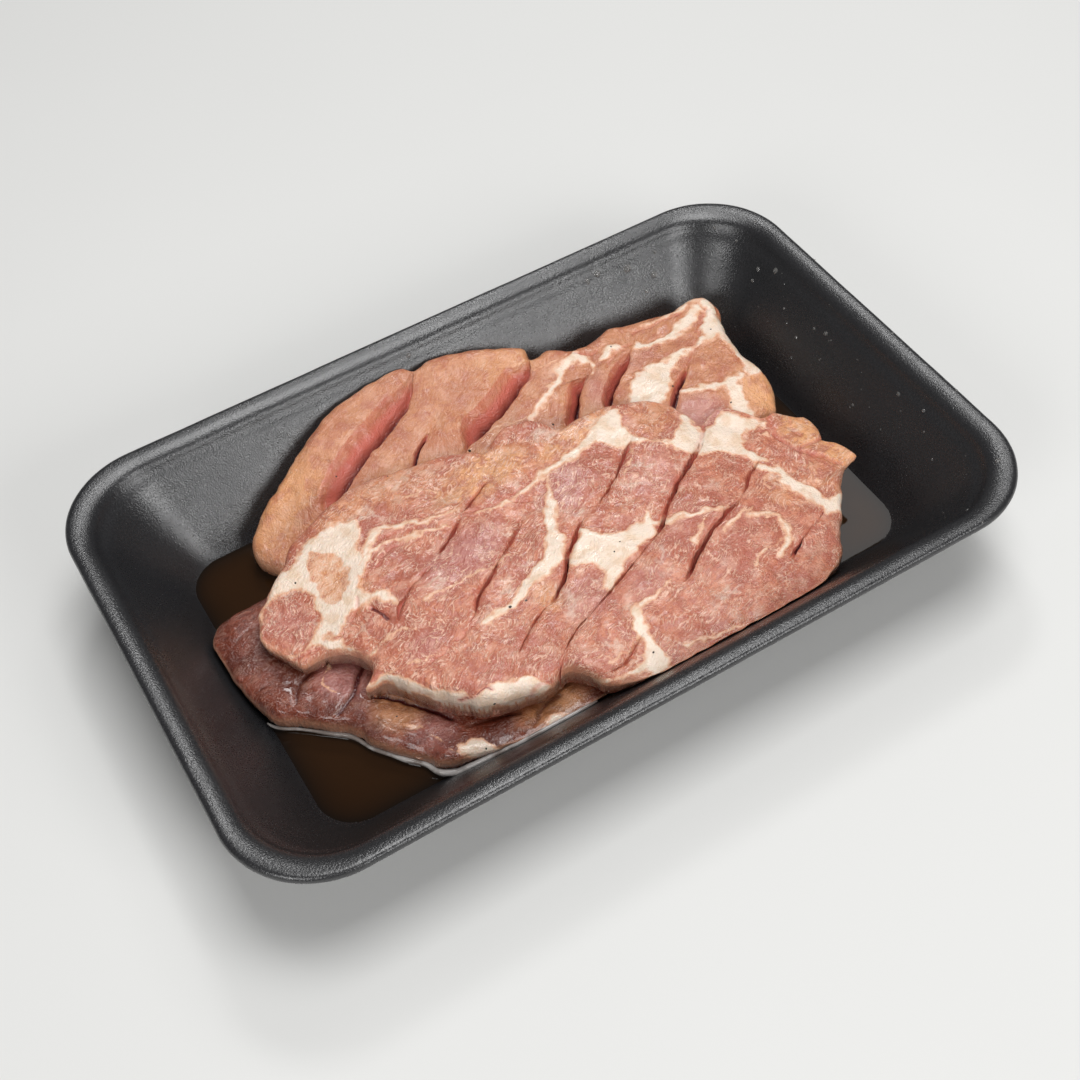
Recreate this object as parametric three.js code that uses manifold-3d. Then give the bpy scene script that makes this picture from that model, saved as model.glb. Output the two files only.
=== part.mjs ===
// A black foam supermarket tray holding three scored pork neck steaks in a little meat juice.
// Millimetres, +Z up, origin on the ground under the middle of the tray, +X along the tray.
import * as THREE from 'three';
import { mergeVertices } from 'three/addons/utils/BufferGeometryUtils.js';
import Module from 'manifold-3d';

// Tray: outer rim, height and corner rounding
const TRAY_LENGTH = 230;
const TRAY_WIDTH = 150;
const TRAY_HEIGHT = 33;
const TRAY_CORNER = 26;
const FLOOR_CORNER = 9;
const FLOOR_TOP = 3;
const CORNER_STEPS = 8;

// Section of the foam, as distance in from the outer rim and height above the ground
const INNER_SECTION = [
  [0.7, TRAY_HEIGHT], [2.4, TRAY_HEIGHT - 0.1], [4.3, 32.3], [5.8, 31.2], [7, 29.8], [12.7, 22.2], [18.3, 14.6],
  [24, 7], [25.8, 5], [28.2, 3.5], [31, FLOOR_TOP],
];
const OUTER_SECTION = [
  [0, 32.2], [0, 31.1], [0.8, 30.3], [3.2, 29.5], [5.2, 27.4], [10.6, 20.2], [16, 13], [21.2, 6],
  [23.6, 2.6], [26, 0.7], [29, 0],
];

// Juice lies on the tray floor up to this level, and keeps this far from foam and meat
const JUICE_LEVEL = 5;
const GAP = 0.35;

// Meat: the room left between one steak and what it lies on, the height of a steak's
// widest line as a share of its thickness, the smallest slit that the mesh keeps, and how far
// the meat between two cuts sinks towards them
const REST_GAP = 0.8;
const WAIST = 0.45;
const SLIT = 0.5;
const VALLEY = 0.9;

// Steps across a steak, with more of them where its edge is rounded
const EDGE_STEPS = [0.014, 0.045, 0.095];
const COLUMNS = 13;
const FRONT_STEPS = [0, 0.05, 0.15, 0.35, 0.6, 0.88];
const STRIP_STEPS = [0, 0.12, 0.37, 0.63, 0.88];
const BACK_STEPS = [0, 0.08, 0.22, 0.38, 0.54, 0.7, 0.84, 0.93, 0.98];
const WHOLE_STEPS = [0, 0.014, 0.045, 0.095, 0.17, 0.25, 0.33, 0.41, 0.5, 0.58, 0.66, 0.74, 0.82, 0.9,
  0.955, 0.986];

const smooth = (x) => {
  const t = Math.min(Math.max(x, 0), 1);
  return t * t * (3 - 2 * t);
};
const ramp = (value, start, length) => smooth((value - start) / length);
const mix = (a, b, t) => a + (b - a) * t;

// One level ring of the tray, anticlockwise, at a distance in from the outer rim
function trayRing(inset, z) {
  const radius = mix(TRAY_CORNER, FLOOR_CORNER, inset / 29);
  const halfLength = TRAY_LENGTH / 2 - inset - radius;
  const halfWidth = TRAY_WIDTH / 2 - inset - radius;
  const ring = [];
  [[1, 1], [-1, 1], [-1, -1], [1, -1]].forEach(([sideX, sideY], corner) => {
    for (let step = 0; step <= CORNER_STEPS; step += 1) {
      const angle = (corner + step / CORNER_STEPS) * Math.PI / 2;
      const x = sideX * halfLength + radius * Math.cos(angle);
      const y = sideY * halfWidth + radius * Math.sin(angle);
      ring.push([x, y, z]);
    }
  });
  return ring;
}

// A closed solid from a pile of rings, the first facing down and the last facing up
function ringSolid(rings) {
  const size = rings[0].length;
  const points = rings.flat();
  const faces = [];
  for (let r = 0; r + 1 < rings.length; r += 1) {
    for (let i = 0; i < size; i += 1) {
      const a = r * size + i;
      const b = r * size + (i + 1) % size;
      faces.push([a, b, b + size], [a, b + size, a + size]);
    }
  }
  const lastStart = (rings.length - 1) * size;
  const flat = rings.map((ring) => ring.map(([x, y]) => new THREE.Vector2(x, y)));
  for (const [a, b, c] of THREE.ShapeUtils.triangulateShape(flat[0], [])) faces.push([a, c, b]);
  for (const [a, b, c] of THREE.ShapeUtils.triangulateShape(flat.at(-1), [])) {
    faces.push([lastStart + a, lastStart + b, lastStart + c]);
  }
  return facesToGeometry(points, faces);
}

function facesToGeometry(points, faces) {
  const geometry = new THREE.BufferGeometry();
  geometry.setAttribute('position', new THREE.Float32BufferAttribute(points.flat(), 3));
  geometry.setIndex(faces.flat());
  geometry.computeVertexNormals();
  return geometry;
}

function trayGeometry() {
  const outside = [...OUTER_SECTION].reverse();
  return ringSolid([...outside, ...INNER_SECTION].map(([inset, z]) => trayRing(inset, z)));
}

// Height of the tray's inner face at a place, which a steak leaning on the wall follows
function wallHeight(x, y) {
  const overX = Math.abs(x) - (TRAY_LENGTH / 2 - TRAY_CORNER);
  const overY = Math.abs(y) - (TRAY_WIDTH / 2 - TRAY_CORNER);
  const inset = overX > 0 && overY > 0
    ? TRAY_CORNER - Math.hypot(overX, overY)
    : Math.min(TRAY_LENGTH / 2 - Math.abs(x), TRAY_WIDTH / 2 - Math.abs(y));
  let z = FLOOR_TOP;
  for (let i = 0; i + 1 < INNER_SECTION.length; i += 1) {
    const [nearer, high] = INNER_SECTION[i];
    const [farther, low] = INNER_SECTION[i + 1];
    if (inset >= nearer && inset < farther) z = mix(high, low, (inset - nearer) / (farther - nearer));
  }
  return inset < INNER_SECTION[0][0] ? INNER_SECTION[0][1] : z;
}

// Height of each steak's top face at a place, from the lowest steak up. A ramp is a rise or drop
// that starts at one place and takes the given length.
const BOTTOM_STEAK_TOP = 12.6;
function bottomTop(x, y) {
  const leftRise = 1.6 * ramp(-x, 45, 30);
  const frontRise = 2.4 * ramp(-y, 42, 12) * ramp(-x, -4, 20);
  return BOTTOM_STEAK_TOP + leftRise + frontRise;
}

function bottomUnder(x, y) {
  return wallHeight(x, y) + GAP - REST_GAP;
}

// What the back steak lies on: the bottom steak, and past its back edge the juice and wall
function backSupport(x, y) {
  const bottomBackEdge = 24 + 16 * ramp(x, -70, 45);
  const bottomFace = mix(bottomTop(x, y), JUICE_LEVEL, ramp(y, bottomBackEdge, 6));
  return Math.max(bottomFace, wallHeight(x, y), JUICE_LEVEL);
}

function backTop(x, y) {
  const lean = 0.24 * (y - 40) * (1 - ramp(x, 10, 45));
  const leftDrop = 8 * ramp(-x, 35, 35);
  const rightDrop = 2.5 * ramp(x, 60, 25) * ramp(-y, -20, 30);
  const seen = 23.5 + lean - leftDrop - rightDrop;
  const hidden = bottomTop(x, y) + 3;
  const hiddenUntil = 4 - 30 * ramp(x, 36, 20);
  return mix(hidden, seen, ramp(y, hiddenUntil, 26));
}

// Where the back steak ends under the top one
function backFrontEdge(x) {
  return 30 - 24 * ramp(x, -75, 65) - 10.5 * ramp(x, -10, 70);
}

// What the top steak lies on: the bottom steak, the back steak and the front wall
function topSupport(x, y) {
  const overBack = ramp(y, backFrontEdge(x) - 7, 5) * ramp(x, -74, 8);
  const backFace = mix(bottomTop(x, y), backTop(x, y), overBack);
  const flapLift = 16.5 * ramp(x, 68, 12);
  return Math.max(bottomTop(x, y), backFace, wallHeight(x, y), flapLift);
}

function topTop(x, y) {
  const frontDrop = 0.0016 * Math.max(0, -14 - y) ** 2;
  const leftDrop = 6.5 * ramp(-x, 42, 42);
  const rightDrop = 4.5 * ramp(x, 34, 38) + 2 * ramp(x, 70, 16);
  return 27.5 - frontDrop - leftDrop - rightDrop;
}

// A steak is a sheet of rows that follow its knife cuts, between two stretches of its outline.
// Its outline runs anticlockwise. A cut's points run across the steak from one edge to the other,
// and it is open from its start to its end, as shares of its length.
function steakGeometry({ outline, frontArc, backArc, cuts, edge, top, under }) {
  const corners = outline.map(([x, y]) => new THREE.Vector3(x, y, 0));
  const rim = new THREE.CatmullRomCurve3(corners, true, 'centripetal');
  const ring = rim.getSpacedPoints(720).slice(0, 720);
  const rimAt = (t) => rim.getPointAt(((t % 1) + 1) % 1);
  const rimShare = ([x, y]) => {
    const far = ring.map((p) => Math.hypot(p.x - x, p.y - y));
    return far.indexOf(Math.min(...far)) / ring.length;
  };
  const base = rimShare(frontArc[1]);
  const after = (t) => ((t - base) % 1 + 1) % 1;
  const columns = [0, ...EDGE_STEPS];
  for (let i = 1; i < COLUMNS; i += 1) {
    columns.push(mix(EDGE_STEPS.at(-1), 1 - EDGE_STEPS.at(-1), i / COLUMNS));
  }
  columns.push(...EDGE_STEPS.map((step) => 1 - step).reverse(), 1);

  // Each rail is a row that the sheet is pinned to: left and right end on the outline, points, depth
  const rails = [];
  const arcRail = ([left, right], order) => {
    let start = rimShare(left);
    let end = rimShare(right);
    if (order > 0 && end < start) end += 1;
    if (order < 0 && start < end) start += 1;
    rails.push({ left: start, right: end, at: (s) => rimAt(mix(start, end, s)), depth: () => 0 });
  };
  arcRail(frontArc, 1);
  for (const cut of cuts) {
    const run = new THREE.CatmullRomCurve3(
      cut.points.map(([x, y]) => new THREE.Vector3(x, y, 0)), false, 'centripetal');
    const left = rimShare(cut.points[0]);
    const right = rimShare(cut.points.at(-1));
    const open = (s) => cut.open.reduce((most, [start, end, share]) => {
      const taper = (end - start) * 0.25;
      return Math.max(most, share * smooth((s - start) / taper) * smooth((end - s) / taper));
    }, 0);
    const side = (offset, slide, depth) => {
      const at = (s) => {
        const point = run.getPointAt(s);
        const along = run.getTangentAt(s);
        const wide = offset * (cut.width * open(s) + SLIT) + (1 - open(s)) * slide * SLIT * 0.5;
        return new THREE.Vector3(point.x - along.y * wide, point.y + along.x * wide, 0);
      };
      const share = slide * SLIT / rim.getLength();
      rails.push({ left: left - share, right: right + share, at, depth: (s) => depth * open(s) });
    };
    side(-cut.lean, -1, 0);
    side(0, 0, cut.depth);
    side(1 - cut.lean, 1, 0);
  }
  arcRail(backArc, -1);

  // Rows between the rails, blended so that their ends stay on the outline
  const rows = [];
  const addRow = (a, b, t, valley) => {
    let leftSpan = after(a.left) - after(b.left);
    if (leftSpan < 0) leftSpan += 1;
    let rightSpan = after(b.right) - after(a.right);
    if (rightSpan < 0) rightSpan += 1;
    const leftEnd = rimAt(a.left - leftSpan * t);
    const rightEnd = rimAt(a.right + rightSpan * t);
    const leftFix = leftEnd.clone().sub(a.at(0).lerp(b.at(0), t));
    const rightFix = rightEnd.clone().sub(a.at(1).lerp(b.at(1), t));
    rows.push(columns.map((s) => {
      const point = a.at(s).lerp(b.at(s), t);
      point.addScaledVector(leftFix, (1 - s) ** 3).addScaledVector(rightFix, s ** 3);
      return { x: point.x, y: point.y, drop: mix(a.depth(s), b.depth(s), t) + valley };
    }));
  };
  rails.forEach((rail, index) => {
    if (index + 1 === rails.length) return addRow(rail, rail, 0, 0);
    const between = index % 3 === 0 && cuts.length > 0;
    const firstStrip = index === 0;
    const lastStrip = index + 2 === rails.length;
    let steps = index % 3 === 0 ? STRIP_STEPS : [0];
    if (firstStrip) steps = FRONT_STEPS;
    if (lastStrip) steps = BACK_STEPS;
    if (firstStrip && lastStrip) steps = WHOLE_STEPS;
    steps.forEach((t) => {
      const valley = between ? VALLEY * (2 * t - 1) ** 2 : VALLEY * Math.sign(cuts.length);
      addRow(rail, rails[index + 1], t, valley);
    });
  });

  // Thickness rounds off to nothing at the outline
  const height = (x, y, drop, onRim) => {
    const low = under(x, y) + REST_GAP;
    const high = Math.max(top(x, y) - drop, low + 1.2);
    const middle = mix(low, high, WAIST);
    const away = Math.min(...ring.map((p) => Math.hypot(p.x - x, p.y - y)));
    const inward = Math.min(away / edge, 1);
    const full = onRim ? 0 : Math.sqrt(1 - (1 - inward) ** 2);
    return [mix(middle, high, full), mix(middle, low, full)];
  };
  const points = [];
  const upper = rows.map((row, r) => row.map(({ x, y, drop }, c) => {
    const onRim = r === 0 || r === rows.length - 1 || c === 0 || c === row.length - 1;
    const [high, low] = height(x, y, drop, onRim);
    points.push([x, y, high]);
    if (onRim) return [points.length - 1, points.length - 1];
    points.push([x, y, low]);
    return [points.length - 2, points.length - 1];
  }));
  const faces = [];
  for (let r = 0; r + 1 < rows.length; r += 1) {
    for (let c = 0; c + 1 < columns.length; c += 1) {
      const quad = [upper[r][c], upper[r][c + 1], upper[r + 1][c + 1], upper[r + 1][c]];
      const rising = (r < rows.length / 2) === (c < columns.length / 2);
      const split = rising ? [[0, 1, 2], [0, 2, 3]] : [[0, 1, 3], [1, 2, 3]];
      for (const [i, j, k] of split) {
        faces.push([quad[i][0], quad[j][0], quad[k][0]]);
        faces.push([quad[i][1], quad[k][1], quad[j][1]]);
      }
    }
  }
  return facesToGeometry(points, faces);
}

// The steak that lies in the juice, with its front edge pushed up the wall
const BOTTOM_STEAK = {
  outline: [
    [70, -40], [76, -28], [78, -12], [77, 4], [73, 20], [66, 30], [50, 37], [20, 40], [-25, 38],
    [-45, 33], [-62, 27], [-76, 24], [-88, 23], [-92.3, 17], [-92.8, 8], [-91.5, -3], [-89, -12],
    [-83, -17], [-78, -21.5], [-73, -26], [-70, -32], [-65, -39], [-60.5, -44], [-58.5, -48],
    [-54, -50.5], [-46, -53], [-38, -55], [-26, -55.3], [-14, -55], [0, -52], [40, -49.5],
    [58, -46.5],
  ],
  frontArc: [[-58.5, -48], [66, -42]],
  backArc: [[-88, 23], [66, 30]],
  cuts: [],
  edge: 8,
  top: bottomTop,
  under: bottomUnder,
};

const BACK_STEAK = {
  outline: [
    [70, -6], [78, -2], [82, 6], [81.5, 22], [84, 33], [87, 41], [86, 46], [83, 48], [74, 47],
    [65, 48.5], [60, 49.5], [53, 51.5], [46, 49.5], [39, 49.5], [34, 52], [28, 52], [28, 55.5],
    [20, 59.5], [10, 62.5], [0, 64], [-5, 63], [-8, 65], [-18, 65], [-31, 63], [-43, 58.5],
    [-52, 54], [-64, 48], [-70, 41.5], [-70, 36], [-60, 24], [-40, 14], [-10, 6], [20, 2],
    [44, -1], [58, -5],
  ],
  frontArc: [[62, -5.5], [82, 6]],
  backArc: [[-70, 36], [-25, 64.3]],
  cuts: [
    { points: [[44, -1], [52, 12], [62, 21], [70, 30], [82, 41], [86, 46]],
      open: [[0.15, 0.95, 1]], width: 0.8, depth: 2.2, lean: 0.5 },
    { points: [[22, 2], [29, 13], [36, 22], [44, 30], [50, 34], [62, 49]],
      open: [[0.38, 0.78, 1]], width: 3.4, depth: 5.5, lean: 0.2 },
    { points: [[10, 3], [19, 16], [27, 25], [33, 33], [37, 36], [46, 49.5]],
      open: [[0.38, 0.76, 1]], width: 3.6, depth: 5.5, lean: 0.2 },
    { points: [[-14, 7], [-10, 20], [-6, 31], [2, 35], [10, 38], [16, 41], [24, 46], [28, 53]],
      open: [[0.38, 0.98, 1]], width: 5, depth: 7, lean: 0.1 },
    { points: [[-32, 11], [-27, 22], [-21, 34], [-13, 41], [0, 50], [12, 62]],
      open: [[0.35, 0.7, 1]], width: 0.8, depth: 3, lean: 0.5 },
    { points: [[-56, 22], [-50, 29], [-45, 34.5], [-32, 43], [-20, 48.5], [-12, 53], [-5, 63]],
      open: [[0.1, 0.99, 1]], width: 5, depth: 7, lean: 0.1 },
  ],
  edge: 6,
  top: backTop,
  under: backSupport,
};

const TOP_STEAK = {
  outline: [
    [56, -58], [61, -55], [66, -48], [71, -41.5], [75, -38], [77, -33], [79.5, -30.5],
    [83.5, -31], [85.8, -28.5], [84.8, -25], [83, -21.5], [80, -19.5], [82, -16.5], [82, -12],
    [81, -7.5], [77.5, -3.5], [74, -3], [70, -5], [66, -1], [62, 3], [57, 2], [54, 0], [51.5, 6], [50, 11], [46, 15.5], [40, 18], [33, 20],
    [25, 20.5], [19, 20.5], [16, 25], [12, 28], [6, 29], [1, 27], [-3, 24.5], [-8, 27], [-14, 30],
    [-22, 31], [-32, 33], [-42, 33], [-50, 31], [-57, 29], [-62, 27.5], [-68, 22], [-74, 17.5],
    [-79, 13], [-82, 3], [-79, -3], [-76, -9], [-70, -9.5], [-65, -12], [-62, -17], [-62, -21.5],
    [-66, -25], [-61, -26], [-57, -31], [-53, -37], [-47, -42], [-44, -45.5], [-34, -49],
    [-26, -50.5], [-20, -49], [-16.5, -53], [-14, -58], [-9, -61], [0, -62.5], [16, -63], [34, -63],
    [48, -61.5],
  ],
  frontArc: [[44, -62.2], [66, -48]],
  backArc: [[-80, 10], [-45, 32.3]],
  cuts: [
    { points: [[26, -63], [35, -57], [45, -52], [55, -47], [64, -43], [75, -38]],
      open: [[0.38, 0.82, 1]], width: 0.4, depth: 2, lean: 0.5 },
    { points: [[-15, -55.5], [-8, -56], [-2, -53], [7, -48], [20, -43], [29, -37], [38, -32],
      [47, -28], [56, -21], [64, -16], [72, -11], [81.5, -8]],
      open: [[0.02, 0.28, 0.3], [0.34, 0.88, 1]], width: 2.6, depth: 6.5, lean: 0.5 },
    { points: [[-23, -50], [-20, -47], [-13, -42], [-4, -38], [6, -34], [17, -29], [23, -26],
      [31, -19], [41, -12], [48, -7], [54, 0]],
      open: [[-0.05, 0.97, 1]], width: 2.4, depth: 7, lean: 0.5 },
    { points: [[-41, -46.5], [-30, -40], [-20, -33], [-9, -28], [-2, -20], [7, -12], [17, -8],
      [31, 3], [46, 15.5]],
      open: [[0.12, 0.86, 1]], width: 1.6, depth: 6.5, lean: 0.5 },
    { points: [[-52, -38], [-36, -26], [-28, -19], [-18, -12], [-10, -6], [4, 7], [17.5, 22.5]],
      open: [[0.2, 0.6, 1]], width: 2, depth: 6, lean: 0.5 },
    { points: [[-66, -25], [-53, -17], [-47, -10], [-36, -4], [-26, 2], [-17, 9], [-7, 14],
      [10, 28.4]],
      open: [[0.15, 0.78, 1]], width: 0.5, depth: 4, lean: 0.5 },
  ],
  edge: 4.5,
  top: topTop,
  under: topSupport,
};

// Where the bottom steak stands in the juice; at the left and front it reaches the wall
const WATERLINE = [
  [60, -45], [69, -38.5], [75, -27], [77, -12], [76, 4], [72, 19], [65, 29], [50, 36], [20, 39],
  [-25, 37], [-45, 32], [-62, 26], [-76, 23], [-86, 22], [-90, 17], [-91, 8], [-90, -3],
  [-87.5, -12], [-82.2, -16], [-77.2, -20.5], [-72.2, -25], [-69.2, -31], [-64.2, -38], [-59.7, -43],
  [-57.7, -47], [-53, -49.6], [-45, -50], [40, -49.5],
];
const WATERLINE_STEPS = 96;
const SMALLEST_POOL = 60;

// The juice is a flat layer with the meat cut out of it, which leaves one pool or more
async function juicePools() {
  const wasm = await Module();
  wasm.setup();
  const toSolid = (geometry) => {
    const bare = new THREE.BufferGeometry();
    bare.setAttribute('position', geometry.getAttribute('position'));
    bare.setIndex(geometry.getIndex());
    const merged = mergeVertices(bare, 1e-4);
    return new wasm.Manifold(new wasm.Mesh({
      numProp: 3,
      vertProperties: merged.getAttribute('position').array,
      triVerts: Uint32Array.from(merged.getIndex().array),
    }));
  };
  const layerSection = [[31, FLOOR_TOP + GAP], [28.7, FLOOR_TOP + 0.9], [26.3, JUICE_LEVEL]];
  const layer = toSolid(ringSolid(layerSection.map(([inset, z]) => trayRing(inset, z))));
  const line = new THREE.CatmullRomCurve3(
    WATERLINE.map(([x, y]) => new THREE.Vector3(x, y, 0)), true, 'centripetal');
  const level = (z) => line.getSpacedPoints(WATERLINE_STEPS).slice(0, -1).map((p) => [p.x, p.y, z]);
  const meat = toSolid(ringSolid([level(0), level(JUICE_LEVEL + FLOOR_TOP)]));
  return layer.subtract(meat).decompose().filter((pool) => pool.volume() > SMALLEST_POOL)
    .map((pool) => {
      const { vertProperties, triVerts } = pool.getMesh();
      const geometry = new THREE.BufferGeometry();
      geometry.setAttribute('position', new THREE.BufferAttribute(vertProperties, 3));
      geometry.setIndex(new THREE.BufferAttribute(triVerts, 1));
      geometry.computeVertexNormals();
      geometry.computeBoundingBox();
      return geometry;
    })
    .sort((a, b) => a.boundingBox.max.y - b.boundingBox.max.y);
}

const part = new THREE.Group();
const addPiece = (name, geometry, color, roughness) => {
  const material = new THREE.MeshStandardMaterial({ color, roughness, metalness: 0 });
  const piece = new THREE.Mesh(geometry, material);
  piece.name = name;
  part.add(piece);
};

addPiece('tray', trayGeometry(), '#232325', 0.5);
const poolNames = ['juice_front_pool', 'juice_back_pool'];
(await juicePools()).forEach((pool, i) => addPiece(poolNames[i], pool, '#37230f', 0.08));
addPiece('steak_bottom', steakGeometry(BOTTOM_STEAK), '#a3694f', 0.3);
addPiece('steak_back', steakGeometry(BACK_STEAK), '#d0907a', 0.35);
addPiece('steak_top', steakGeometry(TOP_STEAK), '#d69f8a', 0.35);

export default part;
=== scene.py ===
"""Looks of the meat tray pack: a black foam tray with three scored pork neck steaks in their juice.

The construction's frame is loaded first. The tray, the juice and the steaks are finer forms of its
nodes and lie in the same places. The juice's raised edge, the pepper and the drops are added here.
Lengths are worked out in millimetres and turned into metres with the mesh.
"""

import itertools
import math

import bmesh
import bpy
import numpy as np
from mathutils import Matrix, Vector, geometry, kdtree
from mathutils.bvhtree import BVHTree


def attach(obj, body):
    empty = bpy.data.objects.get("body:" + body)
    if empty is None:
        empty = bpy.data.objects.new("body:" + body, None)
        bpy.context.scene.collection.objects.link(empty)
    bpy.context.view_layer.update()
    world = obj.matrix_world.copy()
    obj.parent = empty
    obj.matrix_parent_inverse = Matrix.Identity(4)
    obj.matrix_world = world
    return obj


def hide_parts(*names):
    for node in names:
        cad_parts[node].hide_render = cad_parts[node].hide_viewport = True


bl_info = {
    "name": "Meat tray pack",
    "version": (1, 0, 0),
    "blender": (4, 5, 0),
    "location": "View3D > Sidebar > Meat tray",
    "description": "Builds a foam tray with three scored pork neck steaks in their juice",
    "category": "Add Mesh",
}

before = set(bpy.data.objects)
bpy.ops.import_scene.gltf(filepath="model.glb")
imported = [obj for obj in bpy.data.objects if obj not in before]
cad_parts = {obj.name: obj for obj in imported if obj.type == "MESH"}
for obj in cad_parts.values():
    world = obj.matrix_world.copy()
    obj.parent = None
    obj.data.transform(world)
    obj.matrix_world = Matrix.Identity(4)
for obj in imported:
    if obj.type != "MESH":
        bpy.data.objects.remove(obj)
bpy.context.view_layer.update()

MM = 0.001

# Tray and juice, as the construction has them
TRAY_LENGTH = 230
TRAY_WIDTH = 150
TRAY_CORNER = 26
FLOOR_CORNER = 9
FLOOR_CORNER_INSET = 29
FLOOR_TOP = 3
JUICE_LEVEL = 5

# Section of the foam, as distance in from the outer rim and height above the ground
INNER_SECTION = [
    (0.7, 33), (2.4, 32.9), (4.3, 32.3), (5.8, 31.2), (7, 29.8), (12.7, 22.2), (18.3, 14.6),
    (24, 7), (25.8, 5), (28.2, 3.5), (31, FLOOR_TOP),
]
# The same face with a rounder roll and the faint pressed line under it, too fine for the construction
PRESSED_SECTION = [
    (0.7, 33), (2.6, 32.95), (3.6, 32.7), (5.4, 31.85), (6.5, 30.8), (7.2, 29.6), (8, 28.5),
    (8.8, 27.6), (9.5, 26.75), (10.4, 25.5), (12.7, 22.2), (18.3, 14.6), (22.9, 8.4), (24.3, 6.6),
    (26, 4.8), (28.2, 3.5), (31, FLOOR_TOP),
]
OUTER_SECTION = [
    (0, 32.2), (0, 31.1), (0.8, 30.3), (3.2, 29.5), (5.2, 27.4), (10.6, 20.2), (16, 13), (21.2, 6),
    (23.6, 2.6), (26, 0.7), (29, 0),
]

# Cuts: the slit that a shut one leaves, and how far the meat sinks towards a cut
SLIT = 0.3
VALLEY = 0.3

# Lips of the open cuts: how far they sink, how strong the cut's colour is on them, and both reaches
LIP = 0.22
LIP_REACH = 0.45
FLUSH = 0.22
FLUSH_REACH = 0.9

# Sides of the cuts: rows on each, and the power by which they fall
WALL_ROWS = 6
WALL_POWER = 0.9

# Edges of the steaks: how round they are, the least thickness of meat, and how far from the outline the
# close points lie
EDGE_POWER = 2.6
LEAST_MEAT = 1.2
EDGE_STEPS = np.array([0, 0.1, 0.3, 0.6, 1, 1.5])

# Marks on an outline from which distances are taken, and how fast the tint of the rim fades
RIM_MARKS = 5000
RIM_FADE = 0.5

# Juice: spacing and reach of its points, how far in from the rim it meets the foam, how high it climbs
# meat and foam, how far inside them it is highest, and how fast the climb fades
POOL_PITCH = 0.5
POOL_REACH = (92, 51)
POOL_INSET = 25.8
MEAT_CLIMB = 2.2
FOAM_CLIMB = 0.1
POOL_OVERLAP = 0.4
CLIMB_FADE = 0.8

# The juice's raised edge: its ends in plan, and its points along and round it
WATERLINE_ENDS = ((-89.5, -10), (-16, -55))
WATERLINE_POINTS = 420
WATERLINE_SIDES = 12

# Fine drops a square metre of wet foam
MIST_DENSITY = 14000.0

# The photograph's camera: place, directions to the right, up and back, lens and sensor
VIEWPOINT = np.array([-123.27, -251.40, 358.13])
CAMERA_AXES = ((0.85836, -0.50889, -0.06511), (0.43308, 0.65068, 0.62373), (-0.27505, -0.56359, 0.77891))
LENS = 53.39
SENSOR = 36

# Level plane on which the fat and the specks are drawn, as the viewpoint sees them
DRAWING_LEVEL = 27

# Floor of the stage, in millimetres
FLOOR_REACH = 2500
FLOOR_DROP = -0.2

# Lights, in metres: the point that all of them are turned to, then the name, place and size of each
LIGHT_AIM = (0, 0, 0.01)
LIGHTS = [
    ("key", (0.15, 0.0, 1.15), (0.6, 0.6)),
    ("left", (-0.85, -0.55, 0.62), (0.4, 0.4)),
    ("back", (0.6, 0.45, 0.97), (0.34, 0.22)),
    ("glint", (0.36, 0.7, 1.02), (0.24, 0.18)),
    ("front", (0.3, -1.0, 0.58), (0.6, 0.4)),
]


def linear(red, green, blue):
    """A colour as it is on a screen, from 0 to 255, turned into light."""
    shares = [v / 255 for v in (red, green, blue)]
    return tuple(v / 12.92 if v < 0.04045 else ((v + 0.055) / 1.055) ** 2.4 for v in shares)


def smooth(value):
    t = np.clip(value, 0, 1)
    return t * t * (3 - 2 * t)


def ramp(value, start, length):
    """From 0 at the start to 1 a length further, softly."""
    return smooth((value - start) / length)


def mix(a, b, t):
    return a + (b - a) * t


def lattice_noise(points, size, seed):
    """Soft noise from -1 to 1 at (n, 3) points, with lumps of about that size."""
    scaled = points / size + 1000
    cell = np.floor(scaled).astype(np.int64)
    part = scaled - cell
    part = part ** 3 * (part * (part * 6 - 15) + 10)
    total = np.zeros(len(points))
    for corner in itertools.product((0, 1), repeat=3):
        place = cell + corner
        key = place[:, 0] * 73856093 ^ place[:, 1] * 19349663 ^ place[:, 2] * 83492791 ^ seed * 40503
        key = (key ^ key >> 13) * 1274126177
        value = ((key ^ key >> 16) & 0xFFFF) / 32767.5 - 1
        weight = np.prod(np.where(corner, part, 1 - part), axis=1)
        total += value * weight
    return total


def plan_noise(points, size, *seeds):
    """Two fields of soft noise, as shifts in plan."""
    return np.stack([lattice_noise(points, size, seed) for seed in seeds], -1)


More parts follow.
